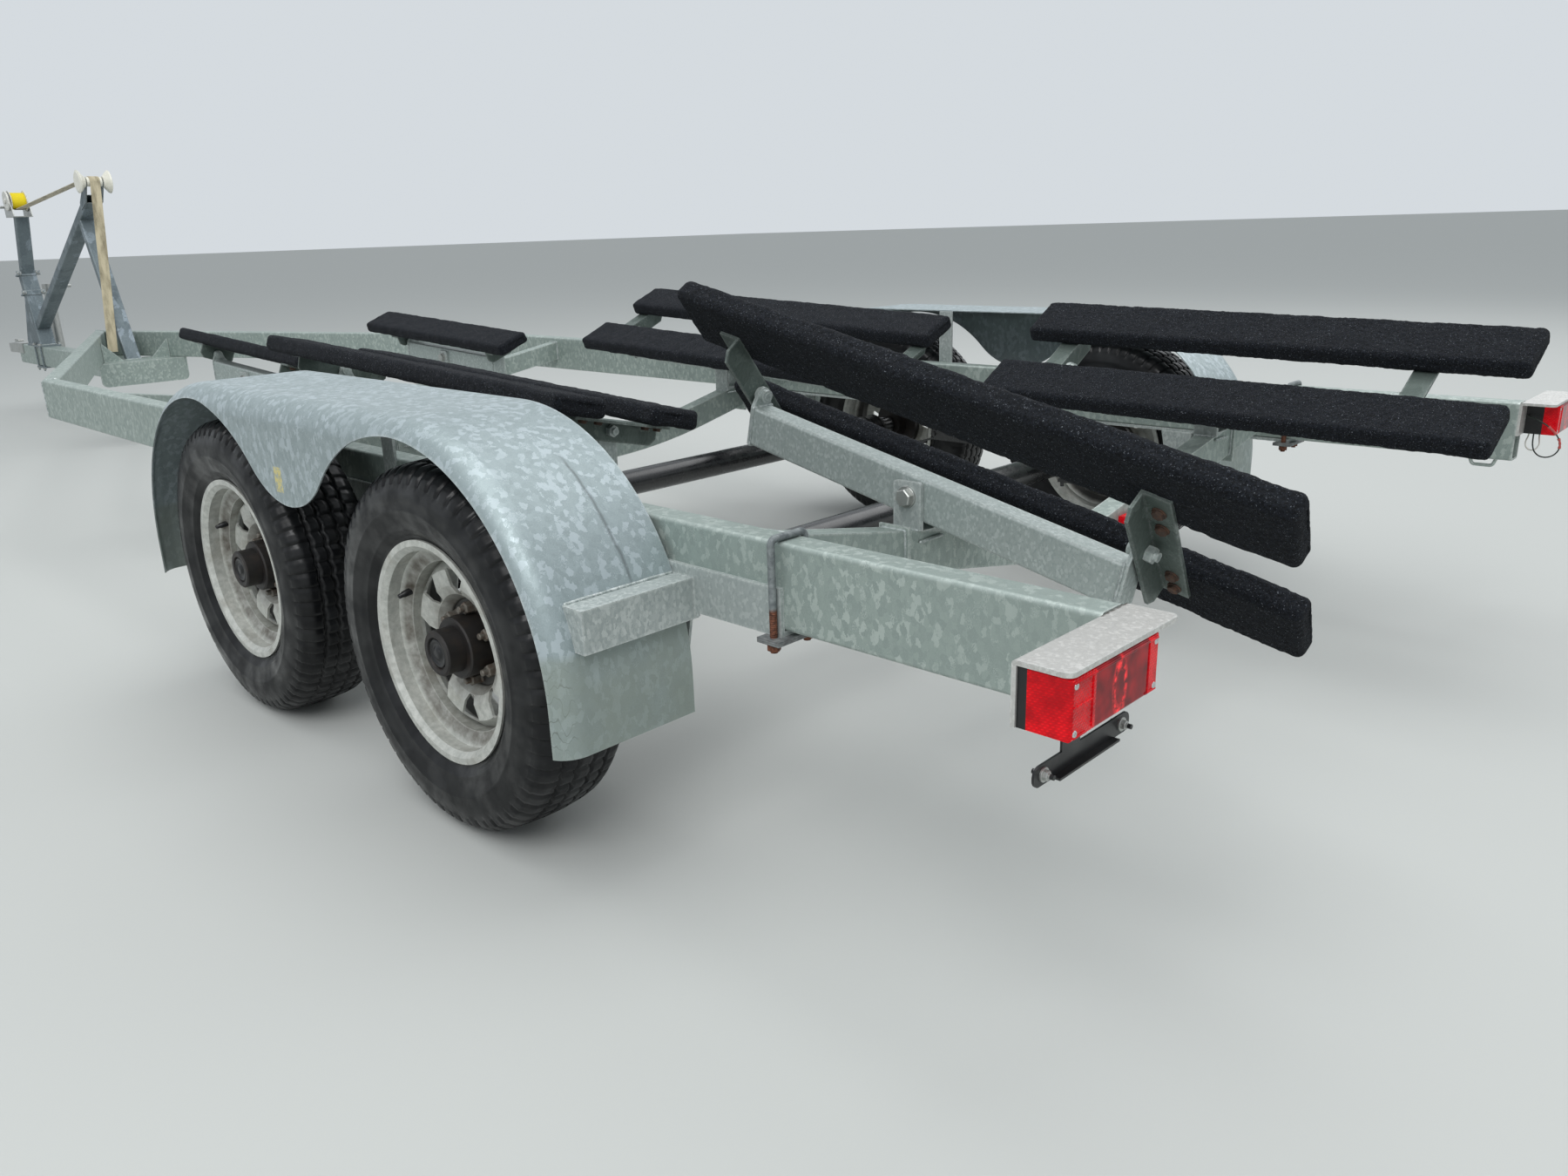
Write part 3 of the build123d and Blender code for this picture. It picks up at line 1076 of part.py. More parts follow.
def clevis(pin_y, pin_z, tube_top):
    """The clevis on a crossmember at X 0: base pad, two ears and the pin through them."""
    gap = BEAM_WIDTH / 2 + CLEVIS_SIDE_GAP
    low = tube_top - 14
    half = CLEVIS_LENGTH / 2
    base = block((-half, half), span(pin_y, 2 * gap + 2), (low, tube_top + CLEVIS_BASE))
    shape = base
    for side in (1, -1):
        near = pin_y + side * gap
        far = near + side * CLEVIS_PLATE
        ear = block((-half, half), (min(near, far), max(near, far)), (low, pin_z + CLEVIS_RISE))
        top_edges = ear.edges().filter_by(Axis.Y).group_by(Axis.Z)[-1]
        shape = shape + fillet(top_edges, 8)
    reach = gap + CLEVIS_PLATE
    pin = rod((0, pin_y - reach - 4, pin_z), (0, pin_y + reach + 4, pin_z), PIN_RADIUS)
    for side in (1, -1):
        start = pin_y + side * reach
        pin = pin + rod((0, start, pin_z), (0, start + side * 4, pin_z), 19)
        head = Plane(origin=(0, start + side * 4, pin_z), z_dir=(0, side, 0))
        pin = pin + extrude(head * RegularPolygon(12, 6, major_radius=False), 10)
    return shape + pin


def crossmember(name):
    """A V-shaped crossmember with its splice plates."""
    row = CROSSMEMBERS[name]
    tube = extrude(cross_band(name, CROSS_DEPTH), amount=CROSS_WIDTH / 2, dir=(1, 0, 0), both=True)
    hollow = extrude(cross_band(name, CROSS_DEPTH - 2 * CROSS_WALL),
                     amount=CROSS_WIDTH / 2 - CROSS_WALL, dir=(1, 0, 0), both=True)
    shape = tube - hollow
    for side in (1, -1):
        z = cross_centre_z(name, SPLICE_Y)
        half = CROSS_WIDTH / 2 + 8
        splice = block((-half, half), span(side * SPLICE_Y, SPLICE_PLATE),
                       (z - CROSS_DEPTH / 2 - SPLICE_HANG, z + CROSS_DEPTH / 2 + 8))
        room = block((-CROSS_WIDTH / 2 + CROSS_WALL, CROSS_WIDTH / 2 - CROSS_WALL),
                     span(side * SPLICE_Y, SPLICE_PLATE + 2), span(z, CROSS_DEPTH - 2 * CROSS_WALL - 4))
        shape = shape + (splice - room)
    return Pos(row["x"], 0, 0) * shape


def bunk_clevises():
    """The clevis of each bunk, its foot cut to the top of the crossmember that it is welded to."""
    shapes = []
    for bunk in BUNKS.values():
        row = CROSSMEMBERS[bunk["cross"]]
        top = cross_centre_z(bunk["cross"], bunk["y"]) + CROSS_DEPTH / 2 / cos(radians(row["slope"]))
        band = extrude(cross_band(bunk["cross"], CROSS_DEPTH), amount=CLEVIS_LENGTH, dir=(1, 0, 0),
                       both=True)
        piece = clevis(bunk["side"] * bunk["y"], bunk["z"], top) - band
        shapes.append(Pos(row["x"], 0, 0) * piece)
    return Compound(children=shapes)


def beam_end(x, direction):
    """A beam's end plate with its raised tab, the roll bolt and the collar that spaces the angle."""
    half = BEAM_WIDTH / 2
    foot = BEAM_DEPTH / 2
    low, high = min(x, x + direction * END_PLATE), max(x, x + direction * END_PLATE)
    plate = slab_yz([(-half, -foot), (half, -foot), (half, foot), (TAB_RADIUS, ROLL_AXIS_RISE),
                     (-TAB_RADIUS, ROLL_AXIS_RISE), (-half, foot)], low, high)
    plate = plate + rod((low, 0, ROLL_AXIS_RISE), (high, 0, ROLL_AXIS_RISE), TAB_RADIUS)
    face = x + direction * END_PLATE
    collar = face + direction * COLLAR_LENGTH
    nut = collar + direction * (ANGLE_PLATE + 2 * SEAT_GAP)
    axis = ROLL_AXIS_RISE
    bolt = rod((x - direction * 12, 0, axis), (nut + direction * 20, 0, axis), PIN_RADIUS)
    bolt = bolt + rod((face, 0, axis), (collar, 0, axis), 14)
    bolt = bolt + rod((x, 0, axis), (x - direction * 10, 0, axis), 13)
    nut_plane = Plane(origin=(nut, 0, axis), z_dir=(direction, 0, 0))
    return plate + bolt + extrude(nut_plane * RegularPolygon(12, 6, major_radius=False), 13)


def beam(bunk):
    """The pivot beam about its own pin: a tube with an end plate and a roll bolt at each end."""
    fore, aft = bunk["beam"]
    tube = box_tube((-aft, 0, 0), (fore, 0, 0), (0, 1, 0), BEAM_WIDTH, BEAM_DEPTH, BEAM_WALL, 6)
    bore = rod((0, -BEAM_WIDTH, 0), (0, BEAM_WIDTH, 0), PIN_RADIUS + RUNNING_GAP)
    return tube - bore + beam_end(fore, 1) + beam_end(-aft, -1)


def angle_place(bunk):
    """X of each angle's upright face, and the way its flat leg points."""
    fore, aft = bunk["beam"]
    away = END_PLATE + COLLAR_LENGTH + SEAT_GAP
    return (fore + away, 1), (-aft - away, -1)


def bunk_angles(bunk):
    """The two angles that carry the boards, about the roll axis."""
    half = ANGLE_HALF_SPAN if bunk["boards"] == 2 else FRONT_BOARD_HALF_SPAN
    low = BOARD_SEAT_RISE - ANGLE_LEG
    shapes = []
    for x, direction in angle_place(bunk):
        thick = (min(x, x + direction * ANGLE_PLATE), max(x, x + direction * ANGLE_PLATE))
        wide = (min(x, x + direction * ANGLE_LEG), max(x, x + direction * ANGLE_LEG))
        upright = block(thick, (-half, half), (low, BOARD_SEAT_RISE))
        corners = upright.edges().filter_by(Axis.X).group_by(Axis.Z)[0]
        upright = chamfer(corners, 16)
        flat = block(wide, (-half, half), (BOARD_SEAT_RISE - ANGLE_PLATE, BOARD_SEAT_RISE))
        hole = rod((x - 60, 0, 0), (x + 60, 0, 0), PIN_RADIUS + RUNNING_GAP)
        shapes.append(upright + flat - hole)
    return Compound(children=shapes)


def bunk_boards(bunk):
    """The carpeted boards, about the roll axis."""
    fore, aft = bunk["board"]
    middles = (-BOARD_SPACING / 2, BOARD_SPACING / 2) if bunk["boards"] == 2 else (0,)
    shapes = []
    for y in middles:
        board = block((-aft, fore), span(y, BOARD_WIDTH),
                      (BOARD_SEAT_RISE, BOARD_SEAT_RISE + BOARD_THICKNESS))
        shapes.append(fillet(board.edges().filter_by(Axis.X), BOARD_EDGE_RADIUS))
    return Compound(children=shapes)


def bunk_parts(name):
    """One bunk, laid at its pitch and roll on its crossmember's clevis."""
    bunk = BUNKS[name]
    pin = Pos(CROSSMEMBERS[bunk["cross"]]["x"], bunk["side"] * bunk["y"], bunk["z"])
    pitch = pin * Rot(0, -bunk["pitch"], 0)
    roll = pitch * Pos(0, 0, ROLL_AXIS_RISE) * Rot(bunk["side"] * bunk["roll"], 0, 0)
    return {
        "bunk_beam_" + name: pitch * beam(bunk),
        "bunk_angles_" + name: roll * bunk_angles(bunk),
        "bunk_boards_" + name: roll * bunk_boards(bunk),
    }


def trailer():
    """Every piece of the trailer by its name."""
    left_rail = rail()
    left_beam = draw_beam()
    left_fender = fender()
    left_sub = sub_rail()
    pieces = {
        "rail_left": left_rail,
        "rail_right": mirrored(left_rail),
        "draw_beam_left": left_beam,
        "draw_beam_right": mirrored(left_beam),
        "tongue_tube": tongue_tube(),
        "coupler": coupler(),
        "winch_crossmember": winch_crossmember(),
        "winch_post": winch_post(),
        "winch_brace": winch_brace() + winch_leg(),
        "winch_frame": winch_frame(),
        "winch_drum": winch_drum(),
        "winch_strap": winch_strap(),
        "bow_roller": bow_roller(),
        "jack_outer": jack_outer(),
        "jack_inner": jack_inner(),
        "axles": axles(),
        "leaf_springs": leaf_springs(),
        "sub_rails": Compound(children=[left_sub, mirrored(left_sub)]),
        "fender_left": left_fender,
        "fender_right": mirrored(left_fender),
        "frame_clamps": frame_clamps(),
        "lamp_guards": lamp_guards(),
        "lamp_housings": lamp_housings(),
        "lamp_lenses": lamp_lenses(),
        "lamp_wire_long": wire(LONG_WIRE, WIRE_RADIUS),
        "lamp_wire_short": wire(SHORT_WIRE, WIRE_RADIUS),
    }
    for name in CROSSMEMBERS:
        pieces["crossmember_" + name] = crossmember(name)
    pieces["bunk_clevises"] = bunk_clevises()
    wheel = {"tyre": tyre(), "rim": rim(), "hub": hub()}
    for side, side_name in ((1, "left"), (-1, "right")):
        for axle, x in WHEEL_X.items():
            for kind, shape in wheel.items():
                placed = Pos(x, WHEEL_Y, TYRE_RADIUS) * shape
                pieces[kind + "_" + axle + "_" + side_name] = on_side(placed, side)
    for name in BUNKS:
        pieces.update(bunk_parts(name))
    return pieces


def main():
    """Writes each piece to its own file, with the origin under the trailer's middle."""
    pieces = trailer()
    box = Compound(children=[copy_of(p) for p in pieces.values()]).bounding_box()
    shift = -(box.min.X + box.max.X) / 2
    os.makedirs("parts", exist_ok=True)
    for name, shape in pieces.items():
        export_step(Pos(shift, 0, 0) * shape, os.path.join("parts", name + ".step"))
    print("shift", round(shift, 3), "size", [round(v, 1) for v in box.size])


def copy_of(shape):
    """The same shape at the same place, free of the compound it is measured in."""
    return Pos(0, 0, 0) * shape


if __name__ == "__main__":
    main()
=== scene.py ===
"""The looks of a galvanised boat trailer: finishes, carpet, tread, welds, wires and small fastenings.

Metres. X runs forward, Y to the left, Z up from the ground under the trailer's middle. Places along
the trailer are written from the rear ends of the side rails, and REAR is where those lie.
"""

import bmesh
import bpy
import numpy as np
from mathutils import Matrix, Vector


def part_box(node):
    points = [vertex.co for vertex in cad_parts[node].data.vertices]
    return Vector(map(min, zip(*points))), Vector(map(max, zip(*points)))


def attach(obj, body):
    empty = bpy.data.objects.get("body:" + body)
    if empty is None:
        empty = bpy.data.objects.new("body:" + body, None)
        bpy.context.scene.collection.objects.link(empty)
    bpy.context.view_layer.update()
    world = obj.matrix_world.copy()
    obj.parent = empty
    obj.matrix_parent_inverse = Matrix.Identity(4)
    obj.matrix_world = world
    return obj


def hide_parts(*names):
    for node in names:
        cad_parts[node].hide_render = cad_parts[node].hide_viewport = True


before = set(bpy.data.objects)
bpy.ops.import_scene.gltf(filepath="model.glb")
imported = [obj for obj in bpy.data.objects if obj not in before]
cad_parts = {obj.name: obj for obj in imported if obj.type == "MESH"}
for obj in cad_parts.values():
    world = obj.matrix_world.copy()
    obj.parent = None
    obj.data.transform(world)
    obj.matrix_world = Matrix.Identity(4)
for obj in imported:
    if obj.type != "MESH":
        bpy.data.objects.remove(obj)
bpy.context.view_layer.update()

TAU = 2 * np.pi
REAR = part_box("rail_left")[0][0]
RAIL_OUTSIDE = 1.013
RAIL_INSIDE = 0.959
RAIL_TOP = 0.600
RAIL_BOTTOM = 0.460
LAMP_LOW = 0.521
WHEEL_CENTRES = {}
for axle in ("rear", "front"):
    for hand in ("left", "right"):
        low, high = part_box("tyre_" + axle + "_" + hand)
        WHEEL_CENTRES[axle + "_" + hand] = np.array((low + high) / 2)
STUD_PHASE = 33.0
STUD_CIRCLE = 0.06985


def at(*places):
    """Points written from the rails' rear ends, as an array in the frame."""
    return np.array(places, float) + (REAR, 0, 0)


def linear(code):
    """The linear colour of an sRGB hex code."""
    parts = [int(code[i:i + 2], 16) / 255 for i in (0, 2, 4)]
    bent = [p / 12.92 if p <= 0.04045 else ((p + 0.055) / 1.055) ** 2.4 for p in parts]
    return (*bent, 1.0)


def shown(name, data):
    """An object in the scene that shows a mesh, curve, light or camera."""
    made = bpy.data.objects.new(name, data)
    bpy.context.scene.collection.objects.link(made)
    return made


# Camera and floor

def camera():
    """The photograph's view, fitted to the rails and wheels in it."""
    spot = Vector((-5.0566, 2.199, 1.049))
    yaw, pitch, roll = np.radians((-45.76, -17.40, -1.89))
    forward = Vector((np.cos(pitch) * np.cos(yaw), np.cos(pitch) * np.sin(yaw), np.sin(pitch)))
    right = Vector((np.sin(yaw), -np.cos(yaw), 0))
    up = right.cross(forward)
    across = np.cos(roll) * right + np.sin(roll) * up
    upward = -np.sin(roll) * right + np.cos(roll) * up
    data = bpy.data.cameras.new("camera")
    data.sensor_width = 36.0
    data.lens = 26.38
    data.clip_start = 0.05
    made = shown("camera", data)
    turn = Matrix((across, upward, -forward)).transposed().to_4x4()
    made.matrix_world = Matrix.Translation(spot) @ turn
    bpy.context.scene.camera = made


def studio():
    """A plain pale floor, a soft grey world and three wide soft lights."""
    half = 200
    mesh = bpy.data.meshes.new("floor")
    mesh.from_pydata([(-half, -half, 0), (half, -half, 0), (half, half, 0), (-half, half, 0)], [],
                     [(0, 1, 2, 3)])
    made, tree, shader = new_material("plain floor")
    finish(tree, shader, Base_Color=linear("B4B6B3"), Roughness=0.9)
    mesh.materials.append(made)
    shown("floor", mesh)
    world = bpy.data.worlds.new("world")
    world.use_nodes = True
    background = world.node_tree.nodes["Background"]
    background.inputs[0].default_value = linear("DDE3E8")
    background.inputs[1].default_value = 0.92
    bpy.context.scene.world = world
    for name, spot, power, size in (("key", (-7.0, 7.0, 8.0), 520.0, 6.0),
                                    ("fill", (-4.0, -8.0, 7.0), 220.0, 7.0),
                                    ("top", (-2.0, 0.5, 9.0), 420.0, 8.0)):
        light = bpy.data.lights.new(name, "AREA")
        light.energy = power
        light.size = size
        lamp = shown(name, light)
        lamp.location = spot
        lamp.rotation_mode = "QUATERNION"
        lamp.rotation_quaternion = (Vector((0, 0, 0.3)) - Vector(spot)).to_track_quat("-Z", "Y")


# Finishes

def new_material(name):
    """An empty material, its tree and its principled shader."""
    made = bpy.data.materials.new(name)
    made.use_nodes = True
    return made, made.node_tree, made.node_tree.nodes["Principled BSDF"]


# What a node of each kind does where a call doesn't say: numbers are multiplied, colours are mixed
USUAL = {"Math": {"operation": "MULTIPLY"}, "VectorMath": {"operation": "MULTIPLY"},
         "Mix": {"data_type": "RGBA"}}


def feed(tree, socket, value):
    """Links an input to another node's output, or sets it to a plain value."""
    if isinstance(value, bpy.types.NodeSocket):
        tree.links.new(value, socket)
    else:
        socket.default_value = value


def add(tree, kind, out=0, inputs=None, **settings):
    """Adds one shader node with its settings, sets or links its inputs, and gives one output."""
    made = tree.nodes.new("ShaderNode" + kind)
    for name, value in {**USUAL.get(kind, {}), **settings}.items():
        setattr(made, name, value)
    for name, value in (inputs or {}).items():
        feed(tree, made.inputs[name], value)
    return made.outputs[out]


def finish(tree, shader, **inputs):
    """Sets or links the principled shader's inputs, their names written with underscores."""
    for key, value in inputs.items():
        feed(tree, shader.inputs[key.replace("_", " ")], value)


def cloud(tree, mm, low=0.0, high=1.0, detail=3.0, rough=0.55, stretch=(1, 1, 1), to=(0.0, 1.0)):
    """Noise on Object coordinates whose features measure the given millimetres, its values between
    low and high spread over the range named to."""
    coords = add(tree, "TexCoord", "Object")
    scale = [1000.0 / (mm * s) for s in stretch]
    units = add(tree, "Mapping", 0, {"Vector": coords, "Scale": scale})
    value = add(tree, "TexNoise", 0, {"Vector": units, "Scale": 1.0, "Detail": detail, "Roughness": rough})
    return add(tree, "MapRange", 0, {0: value, 1: low, 2: high, 3: to[0], 4: to[1]})


def spots(tree, under, over, mm, low, high, most=1.0, detail=4.0, rough=0.6, stretch=(1, 1, 1)):
    """One colour laid over another in clouds of the given size."""
    share = cloud(tree, mm, low, high, detail, rough, stretch, (0.0, most))
    over, under = [linear(c) if isinstance(c, str) else c for c in (over, under)]
    return add(tree, "Mix", 2, {0: share, 6: under, 7: over})


def plateau(tree, value, rise, fall):
    """1 where a value lies between two ramps: it rises from 0 over the first and falls over the last."""
    up = add(tree, "MapRange", 0, {0: value, 1: rise[0], 2: rise[1]})
    down = add(tree, "MapRange", 0, {0: value, 1: fall[0], 2: fall[1], 3: 1.0, 4: 0.0})
    return add(tree, "Math", 0, {0: up, 1: down})


def within(tree, axis, low, high, soft=1.0):
    """1 where one coordinate lies between two values in metres, its edges soft over millimetres."""
    split = add(tree, "SeparateXYZ", axis, {0: add(tree, "TexCoord", "Object")})
    edge = soft / 1000
    return plateau(tree, split, (low - edge, low + edge), (high - edge, high + edge))


def in_box(tree, corners, soft=1.0):
    """1 inside a box between two corners, with soft edges."""
    low, high = at(*corners)
    share = 1.0
    for axis in range(3):
        inside = within(tree, axis, low[axis], high[axis], soft)
        share = add(tree, "Math", 0, {0: inside, 1: share})
    return share


def marked(tree, shader, colour, mask, corners, soft):
    """Lays a colour over what the shader has, where a mask lies inside a box between two corners."""
    share = add(tree, "Math", 0, {0: mask, 1: in_box(tree, corners, soft)})
    under = shader.inputs["Base Color"].links[0].from_socket
    over = linear(colour)
    finish(tree, shader, Base_Color=add(tree, "Mix", 2, {0: share, 6: under, 7: over}))


def near_edge(tree, mm):
    """How near an edge of the piece a point lies, by how far a rounded edge would turn its normal."""
    round_normal = add(tree, "Bevel", 0, {"Radius": mm / 1000}, samples=4)
    flat_normal = add(tree, "NewGeometry", "Normal")
    same = add(tree, "VectorMath", "Value", {0: round_normal, 1: flat_normal}, operation="DOT_PRODUCT")
    return add(tree, "MapRange", 0, {0: same, 1: 0.995, 2: 0.90})


def radius_from(tree, centre):
    """Distance from a line along Y through a centre."""
    away = add(tree, "VectorMath", 0, {0: add(tree, "TexCoord", "Object"), 1: tuple(centre)},
               operation="SUBTRACT")
    flat = add(tree, "VectorMath", 0, {0: away, 1: (1, 0, 1)})
    return add(tree, "VectorMath", "Value", {0: flat}, operation="LENGTH")


def galvanised(name, dark, middle, light, spangle, patches, rough, edge, streak=0.5):
    """Hot-dip galvanised steel, dipped in molten zinc: crystals of random tone, each feathery in a
    direction of its own, some of them pale; soft stains run down it, and along the edges it is
    rough and near white. The spangle is a crystal's size in millimetres."""
    made, tree, shader = new_material(name)
    coords = add(tree, "TexCoord", "Object")
    unit = 1000 / spangle
    base = add(tree, "Mapping", 0, {"Vector": coords, "Scale": (unit, unit, unit / 1.5)})
    warp = add(tree, "TexNoise", "Color", {"Vector": base, "Scale": 1.8, "Detail": 4.0, "Roughness": 0.65})
    moved = add(tree, "VectorMath", 0, {0: base, 1: warp}, operation="ADD")
    cells = add(tree, "TexVoronoi", "Color", {"Vector": moved, "Scale": 1.0, "Randomness": 1.0})
    chance = add(tree, "SeparateColor", 0, {0: cells})
    shade = chance.node.outputs[1]
    angles = add(tree, "VectorMath", 0, {0: cells, 1: (TAU, TAU, TAU)})
    turned = add(tree, "VectorRotate", 0, {"Vector": base, "Rotation": angles}, rotation_type="EULER_XYZ")
    long = add(tree, "Mapping", 0, {"Vector": turned, "Scale": (0.9, 4.5, 4.5)})
    feather = add(tree, "TexNoise", 0, {"Vector": long, "Scale": 1.6, "Detail": 4.0, "Roughness": 0.7})
    strands = add(tree, "MapRange", 0, {0: feather, 1: 0.3, 2: 0.7})
    tone = add(tree, "Mix", 0, {0: streak, 2: shade, 3: strands}, data_type="FLOAT")
    tone = add(tree, "MapRange", 0, {0: tone, 1: 0.2, 2: 0.8})
    colour = add(tree, "Mix", 2, {0: tone, 6: linear(dark), 7: linear(middle)})
    ragged = add(tree, "MapRange", 0, {0: feather, 1: 0.25, 2: 0.75, 3: -0.22, 4: 0.22})
    ragged = add(tree, "Math", 0, {0: chance, 1: ragged}, operation="ADD")
    pale = add(tree, "MapRange", 0, {0: ragged, 1: 1.0 - patches, 2: 1.10 - patches, 3: 0.0, 4: 0.75})
    colour = add(tree, "Mix", 2, {0: pale, 6: colour, 7: linear(light)})
    colour = spots(tree, colour, dark, 300, 0.48, 0.72, 0.55, 5.0, 0.6, (1, 1, 2.5))
    colour = spots(tree, colour, light, 2.6, 0.62, 0.8, 0.25, 3.0, 0.7)
    # Near white along the edges, with a rough grain
    grain = cloud(tree, 7, 0.4, 0.6, 4.0, 0.7, to=(0.2 * edge, edge))
    zinc = add(tree, "Math", 0, {0: near_edge(tree, 7), 1: grain})
    colour = add(tree, "Mix", 2, {0: zinc, 6: colour, 7: linear("D5D9D6")})
    gloss = add(tree, "MapRange", 0, {0: tone, 3: rough + 0.08, 4: rough - 0.08})
    height = add(tree, "Mix", 0, {0: 0.35, 2: cloud(tree, 2.6, rough=0.7), 3: feather},
                 data_type="FLOAT")
    skin = add(tree, "Bump", 0, {"Height": height, "Strength": 0.3, "Distance": 0.0005})
    finish(tree, shader, Base_Color=colour, Metallic=0.45, Roughness=gloss, Normal=skin)
    return made, tree, shader


def fender_zinc():
    """The fender's brighter zinc with its marks: a dark run above the rear tube, scratches on the
    flap's outer edge, and the pale rest of a blank label on the skirt's dip."""
    made, tree, shader = galvanised("galvanised fender sheet", "8B9798", "98A4A6", "AFBABE", 10, 0.34,
                                    0.45, 0.35, 0.6)
    coords = add(tree, "TexCoord", "Object")
    wander = add(tree, "TexNoise", "Color", {"Vector": coords, "Scale": 7.0, "Detail": 3.0})
    wander = add(tree, "VectorMath", 0, {0: wander, 1: (0.03, 0.03, 0.0)})
    moved = add(tree, "VectorMath", 0, {0: coords, 1: wander}, operation="ADD")
    across = add(tree, "SeparateXYZ", 1, {0: moved})
    off = add(tree, "Math", 0, {0: across, 1: 1.124}, operation="SUBTRACT")
    off = add(tree, "Math", 0, {0: off}, operation="ABSOLUTE")
    line = add(tree, "MapRange", 0, {0: off, 1: 0.0006, 2: 0.0045, 3: 0.5, 4: 0.0})
    marked(tree, shader, "3C4042", line, ((0.2, 1.0, 0.515), (1.0, 1.25, 0.70)), 12)
    units = add(tree, "Mapping", 0, {"Vector": coords, "Scale": (33, 33, 11)})
    scratch = add(tree, "TexWave", 1, {"Vector": units, "Scale": 1.3, "Distortion": 12.0, "Detail": 2.0},
                  bands_direction="Z")
    thin = add(tree, "MapRange", 0, {0: scratch, 1: 0.965, 2: 0.995, 4: 0.7})
    marked(tree, shader, "3C4042", thin, ((0.2, 1.262, 0.29), (0.9, 1.30, 0.42)), 4)
    dull = cloud(tree, 60, 0.3, 0.7, to=(0.45, 0.8))
    marked(tree, shader, "8A938A", dull, ((0.2, -1.31, 0.2), (3.0, 1.31, 0.437)), 6)
    paper = cloud(tree, 9, 0.42, 0.55, 4.0, 0.7, to=(0.15, 0.85))
    marked(tree, shader, "D9C978", paper, ((1.604, 1.28, 0.585), (1.636, 1.30, 0.635)), 0.6)
    return made


def guard_zinc():
    """The lamp guard's white zinc, worn to brown along the joint with the rail's top."""
    made, tree, shader = galvanised("lamp guard zinc", "B2B1AD", "BEBDB9", "CFCECA", 4, 0.3, 0.4, 0.5, 0.3)
    joint = ((-0.006, RAIL_INSIDE - 0.01, RAIL_TOP - 0.02), (0.001, RAIL_OUTSIDE + 0.01, RAIL_TOP + 0.01))
    marked(tree, shader, "3A2A1C", cloud(tree, 6, 0.35, 0.6), joint, 1.5)
    return made


def clamp_steel():
    """Dull plated U-bolts, their threads under the rail rusted brown, beside grey nut plates."""
    made, tree, shader = new_material("weathered plated steel")
    steel = spots(tree, "5E6466", "868C8C", 12, 0.35, 0.65)
    rust = spots(tree, "3E2318", "7A4A34", 5, 0.35, 0.65)
    plate = within(tree, 2, 0.4435, 0.4525, 0.3)
    keep = add(tree, "MapRange", 0, {0: plate, 3: 1.0, 4: 0.12})
    low = within(tree, 2, 0.40, 0.497, 3.0)
    share = add(tree, "Math", 0, {0: keep, 1: low})
    colour = add(tree, "Mix", 2, {0: share, 6: steel, 7: rust})
    turns = add(tree, "TexWave", 1, {"Vector": add(tree, "TexCoord", "Object"), "Scale": 90.0},
                bands_direction="Z")
    thread = add(tree, "Math", 0, {0: turns, 1: low})
    relief = add(tree, "Bump", 0, {"Height": thread, "Strength": 0.6, "Distance": 0.001})
    finish(tree, shader, Base_Color=colour, Metallic=0.3, Roughness=0.6, Normal=relief)
    return made


def worn(name, tone, patch, rough, metal, most, patch_mm, coat=0.0):
    """A plated, painted or moulded surface: soft patches of a second tone and a fine uneven skin."""
    made, tree, shader = new_material(name)
    colour = spots(tree, tone, patch, patch_mm, 0.45, 0.7, most, 5.0, 0.65)
    skin = add(tree, "Bump", 0, {"Height": cloud(tree, 2.5), "Strength": 0.15, "Distance": 0.0003})
    finish(tree, shader, Base_Color=colour, Metallic=metal, Coat_Weight=coat, Coat_Roughness=0.2,
           Roughness=cloud(tree, 35, 0.3, 0.7, to=(rough - 0.08, rough + 0.08)), Normal=skin)
    return made


def marine_carpet():
    """Needle-punched marine carpet glued round boards: matt near-black tufts a few millimetres wide,
    with pale flecks where single fibres catch the light."""
    made, tree, shader = new_material("needle-punched carpet")
    colour = spots(tree, "05070A", "1F232A", 4.5, 0.40, 0.64, 1.0, 4.0, 0.8)
    colour = spots(tree, colour, "1C1D20", 160, 0.5, 0.75, 0.3)
    colour = spots(tree, colour, "9298A0", 2.8, 0.62, 0.72, 0.9, 3.0, 0.75)
    tuft = add(tree, "Bump", 0, {"Height": cloud(tree, 3.2, detail=4.0, rough=0.75), "Strength": 1.0,
                                 "Distance": 0.0035})
    finish(tree, shader, Base_Color=colour, Roughness=0.95, Sheen_Weight=0.03, Sheen_Roughness=0.6,
           Specular_IOR_Level=0.12, Normal=tuft)
    return made


def tyre_rubber():
    """Vulcanised black rubber, wet in places: an uneven gloss and dull dusty patches."""
    made, tree, shader = new_material("vulcanised rubber")
    colour = spots(tree, "08090B", "1C1F22", 90, 0.52, 0.75, 0.3)
    skin = add(tree, "Bump", 0, {"Height": cloud(tree, 2.0), "Strength": 0.12, "Distance": 0.0003})
    wet = cloud(tree, 60, 0.45, 0.6, 4.0, to=(0.0, 0.3))
    finish(tree, shader, Base_Color=colour, Roughness=cloud(tree, 45, 0.35, 0.65, 4.0, to=(0.30, 0.55)),
           Specular_IOR_Level=0.3, Coat_Weight=wet, Coat_Roughness=0.15, Normal=skin)
    return made


